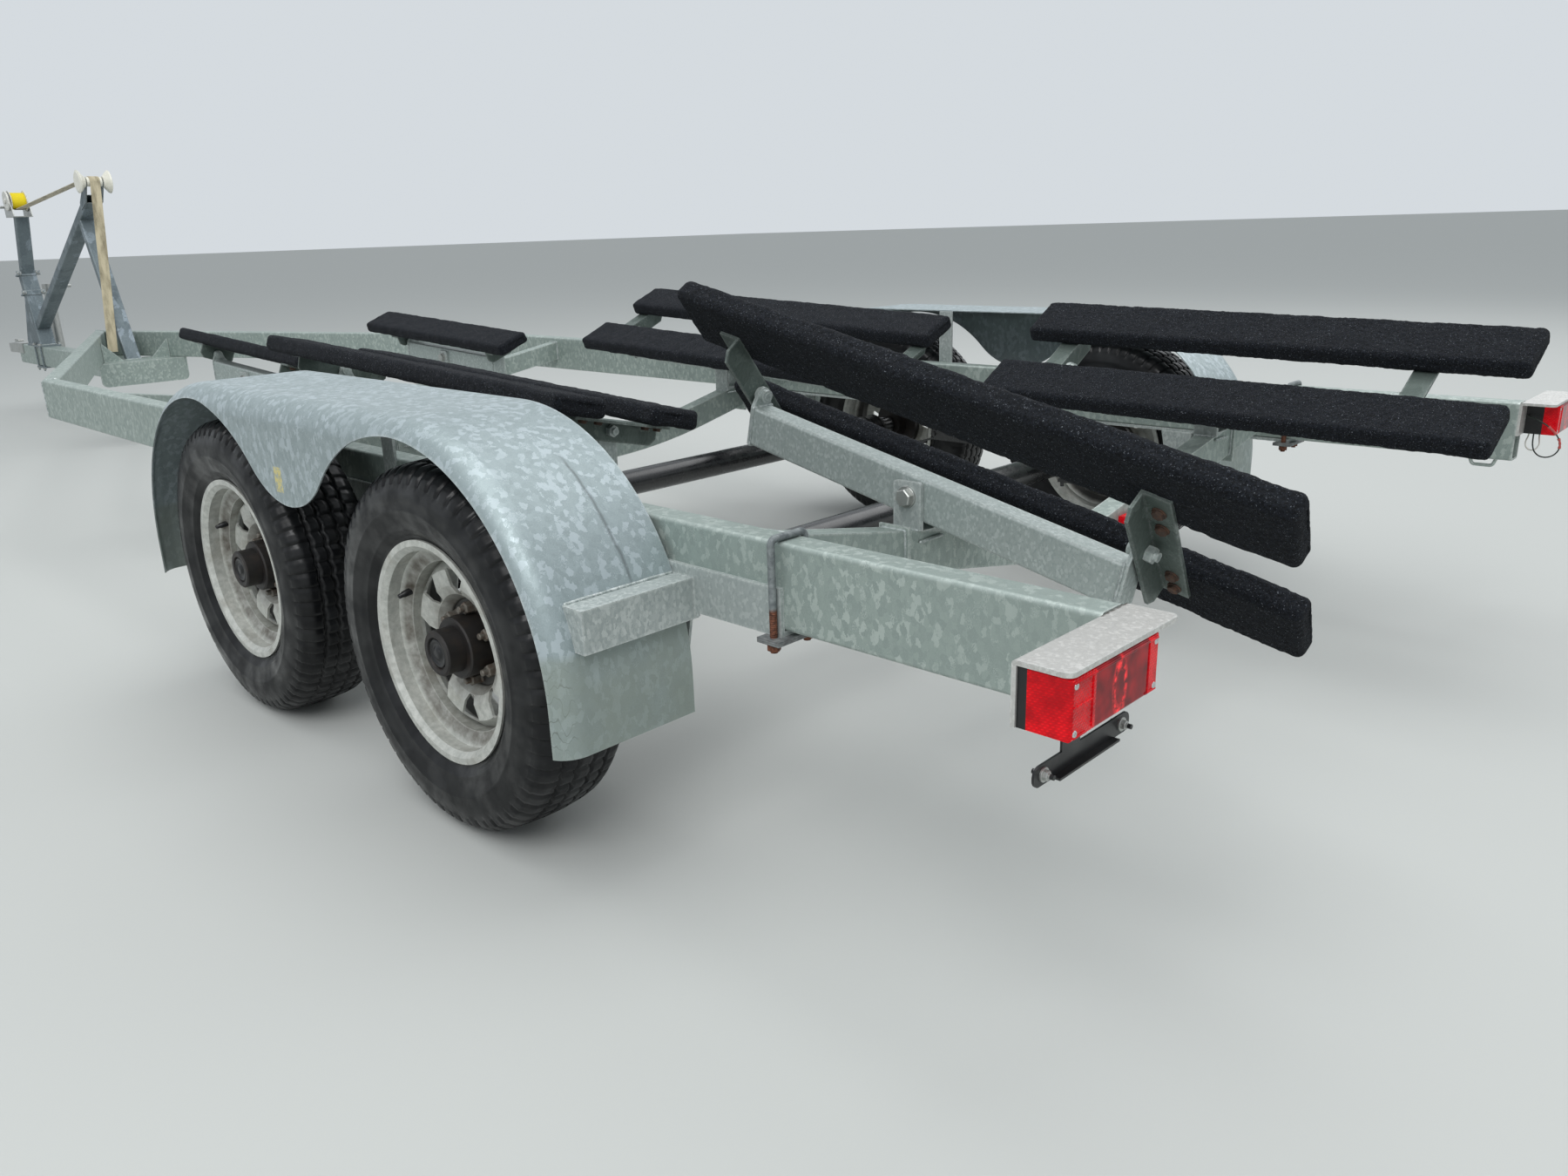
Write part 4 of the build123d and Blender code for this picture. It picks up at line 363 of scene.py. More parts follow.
def wheel_steel(name, centre):
    """A pressed and galvanised wheel: pale mottled zinc, brown with rust round the studs, a band of
    road dirt in the rim's well, and painted shade behind the disc: near black, so that its windows look dark."""
    made, tree, shader = new_material(name)
    base = spots(tree, "A9ABA5", "C6C7C1", 14, 0.35, 0.65, 1.0, 4.0, 0.7)
    base = spots(tree, base, "857F72", 60, 0.5, 0.72, 0.5)
    away = radius_from(tree, centre)
    ring = add(tree, "MapRange", 0, {0: away, 1: 0.070, 2: 0.125, 3: 0.85, 4: 0.0})
    ring = add(tree, "Math", 0, {0: ring, 1: cloud(tree, 22, 0.35, 0.65, 4.0, to=(0.35, 1.0))})
    base = add(tree, "Mix", 2, {0: ring, 6: base, 7: linear("5B4F45")})
    well = plateau(tree, away, (0.158, 0.163), (0.176, 0.186))
    well = add(tree, "Math", 0, {0: well, 1: cloud(tree, 30, 0.3, 0.7, 4.0, to=(0.3, 0.95))})
    colour = add(tree, "Mix", 2, {0: well, 6: base, 7: linear("4A4238")})
    side = np.sign(centre[1])
    low, high = sorted((centre[1] + side * 0.003, centre[1] - side * 0.074))
    # Painted shade: near black behind the disc, inside the rim, so that the wheel's windows look dark
    inside = add(tree, "MapRange", 0, {0: away, 1: 0.172, 2: 0.182, 3: 0.93, 4: 0.0})
    dark = add(tree, "Math", 0, {0: inside, 1: within(tree, 1, low, high, 2)})
    colour = add(tree, "Mix", 2, {0: dark, 6: colour, 7: linear("191715")})
    skin = add(tree, "Bump", 0, {"Height": cloud(tree, 5), "Strength": 0.15, "Distance": 0.0004})
    finish(tree, shader, Base_Color=colour, Metallic=0.35, Roughness=0.42, Normal=skin)
    return made


def winch_drum_finish():
    """A zinc-plated drum between white cheeks, with bright yellow webbing wound in thin layers."""
    made, tree, shader = new_material("plated drum with webbing")
    away = radius_from(tree, at((8.166, 0, 1.362))[0])
    core = add(tree, "MapRange", 0, {0: away, 1: 0.0504, 2: 0.0508, 3: 1.0, 4: 0.0})
    wound = add(tree, "Math", 0, {0: within(tree, 1, -0.0405, 0.0405, 0.3), 1: core})
    plated = spots(tree, "D8D8D2", "A3A199", 14, 0.4, 0.7)
    webbing = spots(tree, "E4CE12", "B9A512", 2, 0.4, 0.7)
    colour = add(tree, "Mix", 2, {0: wound, 6: plated, 7: webbing})
    weave = add(tree, "Bump", 0, {"Height": cloud(tree, 2, rough=0.7), "Strength": 0.3, "Distance": 0.0005})
    finish(tree, shader, Base_Color=colour, Roughness=add(tree, "MapRange", 0, {0: wound, 3: 0.4, 4: 0.8}),
           Normal=weave)
    return made


def faded_webbing():
    """Woven polyester webbing bleached by the sun: ribs across it and dirty patches. The ribs are
    drawn 5 mm apart, coarser than the real weave, so that they show."""
    made, tree, shader = new_material("woven polyester webbing")
    colour = spots(tree, "B9AE92", "756C55", 55, 0.4, 0.68, 1.0, 5.0, 0.6, (1, 0.5, 2.0))
    colour = spots(tree, colour, "D0C8B0", 3, 0.4, 0.7, 0.3)
    rib = add(tree, "TexWave", 1, {"Vector": add(tree, "TexCoord", "Object"), "Scale": 63.0},
              bands_direction="Z")
    relief = add(tree, "Bump", 0, {"Height": rib, "Strength": 0.5, "Distance": 0.0006})
    finish(tree, shader, Base_Color=colour, Roughness=0.92, Sheen_Weight=0.2, Normal=relief)
    return made


def lens_acrylic():
    """Injection-moulded red acrylic: fine prisms on its side and in a band at each end of the rear
    face, and a plainer, darker middle with a painted highlight on it, an upright oval ring also fed to the
    emission."""
    made, tree, shader = new_material("moulded red acrylic")
    coords = add(tree, "TexCoord", "Object")
    across = add(tree, "SeparateXYZ", 1, {0: coords})
    height = across.node.outputs[2]
    reach = add(tree, "Math", 0, {0: across}, operation="ABSOLUTE")
    middle = plateau(tree, reach, (1.034, 1.037), (1.152, 1.155))
    back = within(tree, 0, REAR - 0.08, REAR - 0.066, 0.5)
    middle = add(tree, "Math", 0, {0: middle, 1: back})
    rows = add(tree, "TexWave", 1, {"Vector": coords, "Scale": 95.0}, bands_direction="Z")
    columns = add(tree, "TexWave", 1, {"Vector": coords, "Scale": 95.0}, bands_direction="DIAGONAL")
    prisms = add(tree, "Math", 0, {0: rows, 1: columns})
    plain = add(tree, "MapRange", 0, {0: middle, 3: 1.0, 4: 0.08})
    prism = add(tree, "Math", 0, {0: prisms, 1: plain})
    # Painted highlight: a bright upright oval ring in the plain middle of the rear face
    flat = add(tree, "CombineXYZ", 0, {0: reach, 2: height})
    oval = add(tree, "VectorMath", 0, {0: flat, 1: (1.100, 0.0, 0.553)}, operation="SUBTRACT")
    oval = add(tree, "VectorMath", 0, {0: oval, 1: (1.0, 1.0, 0.42)})
    away = add(tree, "VectorMath", "Value", {0: oval}, operation="LENGTH")
    painted_oval_highlight = plateau(tree, away, (0.008, 0.0115), (0.0125, 0.018))
    for share in (cloud(tree, 9, 0.4, 0.62), middle):
        painted_oval_highlight = add(tree, "Math", 0, {0: painted_oval_highlight, 1: share})
    deep = spots(tree, "58040C", "8C0610", 45, 0.4, 0.65, 1.0, 2.0)
    bright = spots(tree, "A2030D", "DC0A16", 26, 0.38, 0.62, 1.0, 3.0)
    lines = add(tree, "MapRange", 0, {0: prisms, 1: 0.2, 2: 0.9, 3: 0.5, 4: 0.0})
    bright = add(tree, "Mix", 2, {0: lines, 6: bright, 7: linear("8A0410")})
    colour = add(tree, "Mix", 2, {0: middle, 6: bright, 7: deep})
    # Lays the painted highlight over the red; the colour also feeds the emission, so the ring is bright
    colour = add(tree, "Mix", 2, {0: painted_oval_highlight, 6: colour, 7: linear("FF2A30")})
    relief = add(tree, "Bump", 0, {"Height": prism, "Strength": 0.5, "Distance": 0.0008})
    finish(tree, shader, Base_Color=colour, Roughness=0.1, Specular_IOR_Level=0.15, Coat_Weight=0.08,
           Coat_Roughness=0.04, Emission_Color=colour, Emission_Strength=0.3, Normal=relief)
    return made


camera()
studio()

# The galvanised steels differ in the size and contrast of their zinc crystals. Rolled tube cools
# slowly and shows clear ones, thin brackets stay plain, and a weld's rough skin is all fine grain
MATERIALS = {
    "frame": galvanised("galvanised tube", "8D9994", "98A49E", "B2BCB6", 9, 0.28, 0.5, 0.8)[0],
    "mottled": galvanised("galvanised angle", "9BA3A1", "A8AFAD", "BDC3C0", 5, 0.3, 0.55, 0.8, 0.3)[0],
    "beam": galvanised("galvanised beam", "9AA4A1", "A5AEAB", "BCC4C1", 4, 0.28, 0.5, 0.8, 0.3)[0],
    "bracket": galvanised("dull galvanised bracket", "4F5A55", "5E6964", "707B76", 30, 0.15, 0.5, 0.3)[0],
    "stand": galvanised("weathered stand tube", "5C676C", "6E797D", "87929A", 50, 0.15, 0.5, 0.4)[0],
    "weld": galvanised("galvanised weld", "8F9896", "A8B0AE", "C8CECC", 5, 0.4, 0.5, 0.0, 0.2)[0],
    "fender": fender_zinc(),
    "guard": guard_zinc(),
    "clamp": clamp_steel(),
    # Polished and chromed: close to a mirror, dull where it is pitted
    "chrome": worn("chromed screw", "C9CBCA", "8E8E88", 0.22, 0.9, 0.3, 8),
    # Electroplated zinc: an even soft gloss that has stained grey
    "zinc": worn("zinc plated steel", "B0B2AF", "84827B", 0.38, 0.8, 0.3, 25),
    # Plating that is nearly gone: grey, browned in patches
    "nut": worn("rusting plated nut", "6C6861", "58402F", 0.55, 0.4, 0.8, 12),
    # Bare steel left wet: matt, brown on darker brown
    "rust": worn("rusted steel", "463830", "6E4934", 0.75, 0.2, 0.7, 9),
    # Sprayed and baked enamel: smooth and glossy, dulled by dust
    "axle": worn("black enamel", "0D0E10", "2A2A28", 0.28, 0.0, 0.3, 70, 0.5),
    # Sand cast and painted: dark, half matt, brown where the paint has gone
    "hub": worn("cast iron hub", "1A1716", "33281F", 0.55, 0.1, 0.5, 25),
    # Injection moulded: even and black with a soft gloss
    "black": worn("moulded black plastic", "0C0D0F", "1B1C1E", 0.35, 0.0, 0.2, 40),
    # Turned nylon: milky, yellowed in patches
    "roller": worn("moulded white nylon", "DAD8CC", "B6B19C", 0.35, 0.0, 0.35, 25, 0.2),
    # Extruded vinyl over copper: smooth and slightly glossy
    "wire_dark": worn("dark vinyl wire", "14201A", "2C3A30", 0.45, 0.0, 0.3, 9),
    "wire_white": worn("white vinyl wire", "D6D4CC", "A8A498", 0.45, 0.0, 0.3, 9),
    "crimp": worn("red vinyl sleeve", "A8423E", "C87A72", 0.35, 0.0, 0.4, 6),
    "carpet": marine_carpet(),
    "tyre": tyre_rubber(),
    "drum": winch_drum_finish(),
    "webbing": faded_webbing(),
    "lens": lens_acrylic(),
}
for wheel, centre in WHEEL_CENTRES.items():
    MATERIALS["rim_" + wheel] = wheel_steel("pressed wheel steel " + wheel, centre)

# A node whose name begins with a word here gets the material named after it
FINISHES = {
    "fender": "fender", "hub_": "hub", "axles": "axle", "leaf_springs": "axle", "lamp_housings": "black",
    "lamp_lenses": "lens", "lamp_guards": "guard", "lamp_wire": "wire_dark", "bow_roller": "roller",
    "winch_strap": "webbing", "winch_frame": "zinc", "winch_drum": "drum", "winch_post": "stand",
    "winch_brace": "stand", "frame_clamps": "clamp", "bunk_angles": "bracket", "bunk_boards": "carpet",
    "bunk_beam": "beam", "tyre_": "tyre", "jack_": "zinc", "coupler": "zinc", "sub_rails": "mottled",
    "bunk_clevises": "mottled",
}
for node_name, cad_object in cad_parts.items():
    finishes = [value for key, value in FINISHES.items() if node_name.startswith(key)] + ["frame"]
    if node_name.startswith("rim_"):
        finishes = [node_name]
    cad_object.data.materials.clear()
    cad_object.data.materials.append(MATERIALS[finishes[0]])


# Shapes: each is a pair of points and four-cornered faces

def grid(points, closed=False):
    """A grid of points (rows by columns by xyz) and its faces. Each row is a ring, and where the grid
    is closed its last ring joins the first."""
    rows, columns = points.shape[:2]
    index = np.arange(rows * columns).reshape(rows, columns)
    if closed:
        index = np.vstack([index, index[:1]])
    index = np.hstack([index, index[:, :1]])
    faces = np.stack([index[:-1, :-1], index[1:, :-1], index[1:, 1:], index[:-1, 1:]], -1)
    return points.reshape(-1, 3), faces.reshape(-1, 4)


def joined(parts):
    """Several shapes as one."""
    starts = np.cumsum([0] + [len(points) for points, _ in parts[:-1]])
    faces = [part_faces + start for (_, part_faces), start in zip(parts, starts)]
    return np.vstack([points for points, _ in parts]), np.vstack(faces)


def both_sides(parts):
    """Shapes made for the left side, with their copies on the right."""
    return joined(parts + [(points * (1, -1, 1), faces) for points, faces in parts])


def piece(name, shape, material, body, smooth=True, stands_for=()):
    """A mesh object at the origin, its doubles merged and its faces turned outwards, on a body."""
    mesh = bpy.data.meshes.new(name)
    points, faces = shape
    mesh.from_pydata(points.tolist(), [], faces.tolist())
    work = bmesh.new()
    work.from_mesh(mesh)
    bmesh.ops.remove_doubles(work, verts=work.verts, dist=1e-6)
    bmesh.ops.dissolve_degenerate(work, edges=work.edges, dist=1e-7)
    bmesh.ops.recalc_face_normals(work, faces=work.faces)
    work.to_mesh(mesh)
    work.free()
    mesh.polygons.foreach_set("use_smooth", np.full(len(mesh.polygons), smooth))
    mesh.materials.append(MATERIALS[material])
    obj = shown(name, mesh)
    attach(obj, body)
    if stands_for:
        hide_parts(*stands_for)
    return obj


def lathe(base, axis, profile, sides, turn=0.0):
    """A profile of (height, radius) pairs turned about an axis, closed with a pole at each end."""
    w = np.asarray(axis, float) / np.linalg.norm(axis)
    u = np.cross(w, (0, 0, 1.0) if abs(w[2]) < 0.9 else (1.0, 0, 0))
    u /= np.linalg.norm(u)
    rows = np.array([(profile[0][0], 0)] + list(profile) + [(profile[-1][0], 0)])
    angles = np.arange(sides) * TAU / sides + turn
    ring = np.cos(angles)[:, None] * u + np.sin(angles)[:, None] * np.cross(w, u)
    points = np.asarray(base, float) + rows[:, :1, None] * w + rows[:, 1:, None] * ring[None]
    return grid(points)


def hexagon(base, axis, across, height, turn=0.3):
    """A nut or bolt head: a six-sided lathe whose outer end is bevelled."""
    corner = across / np.sqrt(3)
    return lathe(base, axis, [(-0.001, corner), (height * 0.85, corner), (height, corner * 0.86)], 6, turn)


def bolt(base, axis, across, height, washer, turn, stub=0.0):
    """A hex head on a round washer, with the bolt's end standing out of it where it has a stub."""
    start = np.asarray(base, float)
    out = np.asarray(axis, float) / np.linalg.norm(axis)
    parts = [lathe(start, out, [(-0.001, washer), (0.002, washer), (0.0025, washer * 0.95)], 28),
             hexagon(start + 0.0025 * out, out, across, height, turn)]
    if stub:
        thread = across * 0.30
        parts.append(lathe(start, out, [(0, thread), (height + stub, thread), (
            height + stub + 0.001, thread * 0.8)], 14))
    return joined(parts)


def distances(path):
    """How far along a path of straight runs each of its points lies."""
    return np.concatenate([[0], np.cumsum(np.linalg.norm(np.diff(path, axis=0), axis=1))])


def placed(path, along):
    """The points of a path at given distances along it."""
    marks = distances(path)
    return np.stack([np.interp(along, marks, path[:, k]) for k in range(3)], -1)


def resampled(path, step, closed=False):
    """Points at even distances along a path of straight runs, and the distances themselves."""
    path = np.asarray(path, float)
    if closed:
        path = np.vstack([path, path[:1]])
    length = distances(path)[-1]
    along = np.linspace(0, length, max(int(length / step), 3) + 1)
    return placed(path, along), along


def carried(points, radii, sides, closed=False):
    """A circle of changing radius carried along a path. The path's flattest direction is one axis of
    the circle, and the direction square to it and to the path is the other."""
    if closed:
        points = points[:-1]
        radii = radii[:-1]
        tangents = np.roll(points, -1, 0) - np.roll(points, 1, 0)
    else:
        tangents = np.gradient(points, axis=0)
    tangents = tangents / np.linalg.norm(tangents, axis=1)[:, None]
    flat = np.linalg.svd(points - points.mean(0))[2][2]
    side = np.cross(tangents, flat)
    side /= np.linalg.norm(side, axis=1)[:, None]
    angles = np.arange(sides) * TAU / sides
    ring = (np.cos(angles)[None, :, None] * np.cross(side, tangents)[:, None]
            + np.sin(angles)[None, :, None] * side[:, None])
    tube = points[:, None] + radii[:, None, None] * ring
    if closed:
        return grid(tube, closed)
    ends = [np.repeat(points[k][None, None], sides, 1) for k in (0, -1)]
    return grid(np.concatenate([ends[0], tube, ends[1]]))


def bead(path, radius, closed=False):
    """A weld bead: a circle carried along the joint, swollen by each ripple, 4 mm apart, where the
    welder paused, and a little by slow waves."""
    points, along = resampled(path, 0.002, closed)
    ripple = np.abs(np.sin(along * np.pi / 0.0042 + np.sin(along * 31)))
    radii = radius * (0.86 + 0.16 * ripple + 0.10 * np.sin(along * 97 + radius * 9000))
    if not closed:
        radii = radii * np.clip(np.minimum(along, along[-1] - along) / 0.003 + 0.3, 0, 1)
    return carried(points, radii, 8, closed)


def waves(points, size, seed, count=9):
    """A smooth random value at each point, between about -1 and 1: sine waves of one length that run
    in random directions."""
    draw = np.random.default_rng(seed)
    ways = draw.normal(size=(count, 3))
    ways /= np.linalg.norm(ways, axis=1)[:, None]
    phases = draw.uniform(0, TAU, count)
    lengths = size * draw.uniform(0.7, 1.4, count)
    values = np.sin(points @ (ways / lengths[:, None]).T * TAU + phases)
    return values.sum(-1) / np.sqrt(count)


# Wires at the right lamp, each limp. Their control points are millimetres from the rails' rear ends

LONG_WIRE = np.array([
    (-12, -1010, 566), (-12, -997, 566), (-20, -988, 565), (-33, -983, 561), (-48, -982, 554),
    (-63, -983, 544), (-77, -985, 530), (-87, -988, 513), (-88, -992, 494), (-79, -997, 478),
    (-64, -1003, 469), (-47, -1011, 468), (-33, -1019, 476), (-26, -1025, 490), (-24, -1029, 506),
    (-24, -1029, 521)]) / 1000
SHORT_WIRE = np.array([
    (-12, -1040, 521), (-12, -1040, 511), (-8, -1039, 500), (-8, -1037, 488), (-15, -1035, 479),
    (-26, -1034, 477), (-35, -1034, 484), (-38, -1035, 496), (-35, -1036, 509), (-35, -1036, 521)]) / 1000
WIRE_RADIUS = 0.0016


def sleeve(name, line, start, end):
    """A crimp sleeve: a circle carried along the wire from one distance to another, flared at its
    ends and pinched twice between them."""
    share = np.linspace(0, 1, 40)
    pinch = np.exp(-((share - 0.3) / 0.07) ** 2) + np.exp(-((share - 0.7) / 0.07) ** 2)
    radii = WIRE_RADIUS * (1.75 + 0.5 * np.abs(2 * share - 1) ** 4 - 0.4 * pinch)
    points = placed(line, np.linspace(start, end, 40))
    return piece(name, carried(points, radii, 16), "crimp", "frame")


def wire(name, node, route, material, sleeves):
    """A wire as a smooth spline with the route as its control points."""
    curve = bpy.data.curves.new(name, "CURVE")
    curve.dimensions = "3D"
    spline = curve.splines.new("NURBS")
    spline.points.add(len(route) - 1)
    controls = np.hstack([at(*route), np.ones((len(route), 1))])
    spline.points.foreach_set("co", controls.ravel())
    spline.order_u = 3
    spline.use_endpoint_u = True
    spline.use_smooth = True
    curve.materials.append(MATERIALS[material])
    obj = shown(name, curve)
    bare = bpy.data.meshes.new_from_object(obj)
    line = np.zeros(len(bare.vertices) * 3)
    bare.vertices.foreach_get("co", line)
    line = line.reshape(-1, 3)
    curve.bevel_depth = WIRE_RADIUS
    curve.bevel_resolution = 4
    curve.use_fill_caps = True
    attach(obj, "frame")
    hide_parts(node)
    on_it = [sleeve(name + "_sleeve_" + str(k), line, start, end) for k, (start, end) in enumerate(sleeves)]


wire("lamp_wire_dark", "lamp_wire_long", LONG_WIRE, "wire_dark", ((0.070, 0.094), (0.106, 0.130)))
wire("lamp_wire_white", "lamp_wire_short", SHORT_WIRE, "wire_white", ())


# Tyres

PITCHES = 66
PITCH_STEPS = np.array([0.0, 0.10, 0.14, 0.32, 0.50, 0.60, 0.64, 0.82])
# Half of the sidewall from the bead out: radius, distance from the wheel's middle
SIDEWALL = np.array([
    (0.1905, 0.0705), (0.200, 0.0722), (0.2065, 0.0755), (0.2095, 0.0790), (0.2125, 0.0780),
    (0.2165, 0.0822), (0.222, 0.0862), (0.2275, 0.0900), (0.2290, 0.0912), (0.2310, 0.0912),
    (0.240, 0.0950), (0.250, 0.0985), (0.260, 0.1010), (0.2625, 0.1022), (0.2655, 0.1022),
    (0.268, 0.1015), (0.278, 0.1018), (0.290, 0.1000), (0.300, 0.0975), (0.308, 0.0945),
    (0.3100, 0.0945), (0.3120, 0.0940), (0.318, 0.0915), (0.324, 0.0890)])
CROWN_RADIUS = 0.343
SIPE_SHARE = 0.11
LOOP_RADIUS = 0.309
TREAD_EDGES = np.array([84, 79, 74, 69, 64, 59, 54, 50.5, 49.5, 43.5, 42.5, 36, 30, 24, 20.5, 19.5, 13.5,
                        12.5, 6]) / 1000


def tyre(wheel):
    """A radial tyre. One parameter turns about the axle, eight steps to each tread pitch, and the
    other runs from bead to bead over the crown, an arc that drops by the square of the distance from
    its middle. Four grooves run round it in a zigzag, sipes cross the ribs and cut the shoulders, and
    each pitch leaves a small loop standing on the upper sidewall."""
    centre = WHEEL_CENTRES[wheel]
    share = (np.arange(PITCHES)[:, None] + PITCH_STEPS[None]).ravel()[:, None]
    theta = share / PITCHES * TAU
    phase = share % 1.0
    across = np.concatenate([-TREAD_EDGES, [0.0], TREAD_EDGES[::-1]])
    crown = CROWN_RADIUS - 0.0028 * (across / 0.05) ** 2
    crown = crown - 0.008 * np.clip((abs(across) - 0.066) / 0.018, 0, 1) ** 2
    lead = SIDEWALL * (1, -1)
    profile = np.vstack([lead, np.column_stack([crown, across]), SIDEWALL[::-1]])
    radius = profile[None, :, 0] + 0 * theta
    y = profile[None, :, 1] + 0 * theta
    on_tread = (np.arange(len(profile)) >= len(lead)) & (np.arange(len(profile)) < len(lead) + len(across))
    part = abs(profile[:, 1])
    groove = on_tread & (((part > 0.0126) & (part < 0.0204)) | ((part > 0.0426) & (part < 0.0504)))
    shoulder = on_tread & (part > 0.0504)
    ribs = on_tread & ~groove & ~shoulder
    upper = ~on_tread & (profile[:, 0] > LOOP_RADIUS)
    cut = phase < SIPE_SHARE
    radius = radius - 0.0075 * groove
    radius = radius - 0.0032 * shoulder * cut
    radius = radius - 0.0030 * ribs * ((phase > 0.49) & (phase < 0.61))
    radius = radius - upper * cut * 0.0040 * (profile[:, 0] - LOOP_RADIUS) / 0.015
    y = y - upper * cut * np.sign(profile[:, 1]) * 0.0022
    y = y + (on_tread & (part < 0.055)) * 0.0020 * np.where(phase < 0.5, phase * 4 - 1, 3 - phase * 4)
    points = centre + np.stack([radius * np.sin(theta), y, radius * np.cos(theta)], -1)
    shape = grid(points, closed=True)
    piece("tread_" + wheel, shape, "tyre", "wheel_" + wheel, stands_for=("tyre_" + wheel,))


def wheel_trim(wheel):
    """What is bolted to or pushed into a wheel: six plated nuts on their studs, the grooved rubber
    plug in the hub's cap, and the valve, a stem that leans in towards the axle."""
    centre = WHEEL_CENTRES[wheel]
    side = 1.0 if centre[1] > 0 else -1.0
    axis = np.array((0, side, 0))
    nuts = []
    for angle in np.radians(STUD_PHASE + 60 * np.arange(6)):
        base = centre + STUD_CIRCLE * np.array((np.cos(angle), 0, np.sin(angle)))
        nuts.append(lathe(base, axis, [(-0.001, 0.0145), (0.004, 0.0115)], 6, angle))
        nuts.append(lathe(base, axis, [(0.003, 0.0118), (0.019, 0.0118), (0.0215, 0.009)], 6, angle))
        nuts.append(lathe(base, axis, [(0.02, 0.0062), (0.030, 0.0062), (0.0315, 0.005)], 14))
    piece("wheel_nuts_" + wheel, joined(nuts), "nut", "wheel_" + wheel, smooth=False)
    plug = lathe(centre + 0.0775 * axis, axis, [
        (-0.001, 0.027), (0.003, 0.026), (0.0035, 0.023), (0.001, 0.021), (0.001, 0.012), (0.004, 0.011),
        (0.0055, 0.006), (0.0055, 0.003)], 32)
    out = np.array((np.cos(np.radians(27)), 0, np.sin(np.radians(27))))
    stem = lathe(centre + out * 0.172 + 0.030 * axis, axis - 0.25 * out, [
        (-0.010, 0.0095), (0.004, 0.0095), (0.010, 0.0068), (0.026, 0.0062), (0.027, 0.0048),
        (0.036, 0.0045), (0.037, 0.003)], 20)
    piece("wheel_rubber_" + wheel, joined([plug, stem]), "black", "wheel_" + wheel)


for wheel in WHEEL_CENTRES:
    tyre(wheel)
    wheel_trim(wheel)


# Bunks. Columns: pin X, Y and Z, side, beam reach fore and aft, board reach fore and aft, middles of
# the boards, pitch and roll in degrees
BUNKS = {
    "aft_left": (0.586, 0.600, 0.592, 1, (0.400, 0.415), (0.560, 0.660), (-0.135, 0.135), 12.5, 48),
    "aft_right": (0.586, 0.600, 0.592, -1, (0.400, 0.415), (0.560, 0.660), (-0.135, 0.135), 1.5, 30),
    "mid_left": (2.356, 0.620, 0.612, 1, (0.330, 0.900), (0.415, 0.985), (-0.135, 0.135), 2.8, 13),
    "mid_right": (2.356, 0.620, 0.612, -1, (0.480, 0.750), (0.565, 0.835), (-0.135, 0.135), 2.8, 24),
    "front_left": (3.876, 0.420, 0.566, 1, (0.300, 0.370), (0.560, 0.520), (0.0,), 3, 21),
    "front_right": (3.876, 0.420, 0.566, -1, (0.300, 0.370), (0.560, 0.520), (0.0,), 3, 21),
}
ROLL_AXIS_RISE = 0.060
BOARD_WIDTH = 0.140
BOARD_LOW = 0.025
BOARD_HIGH = 0.071


def turned(degrees, axis):
    """A turn about one axis, as a 3 by 3 array."""
    return np.array(Matrix.Rotation(np.radians(degrees), 3, axis))


def on_arm(name, points):
    """Points on a bunk's beam, written from its pin, as places in the frame."""
    x, y, z, side, _, _, _, pitch, _ = BUNKS[name]
    return at((x, side * y, z)) + np.asarray(points, float) @ turned(-pitch, "Y").T


def on_pad(name, points):
    """Points on a bunk's rolling frame, written from its roll axis, as places in the frame."""
    side, roll = BUNKS[name][3], BUNKS[name][8]
    return on_arm(name, np.asarray(points, float) @ turned(side * roll, "X").T + (0, 0, ROLL_AXIS_RISE))


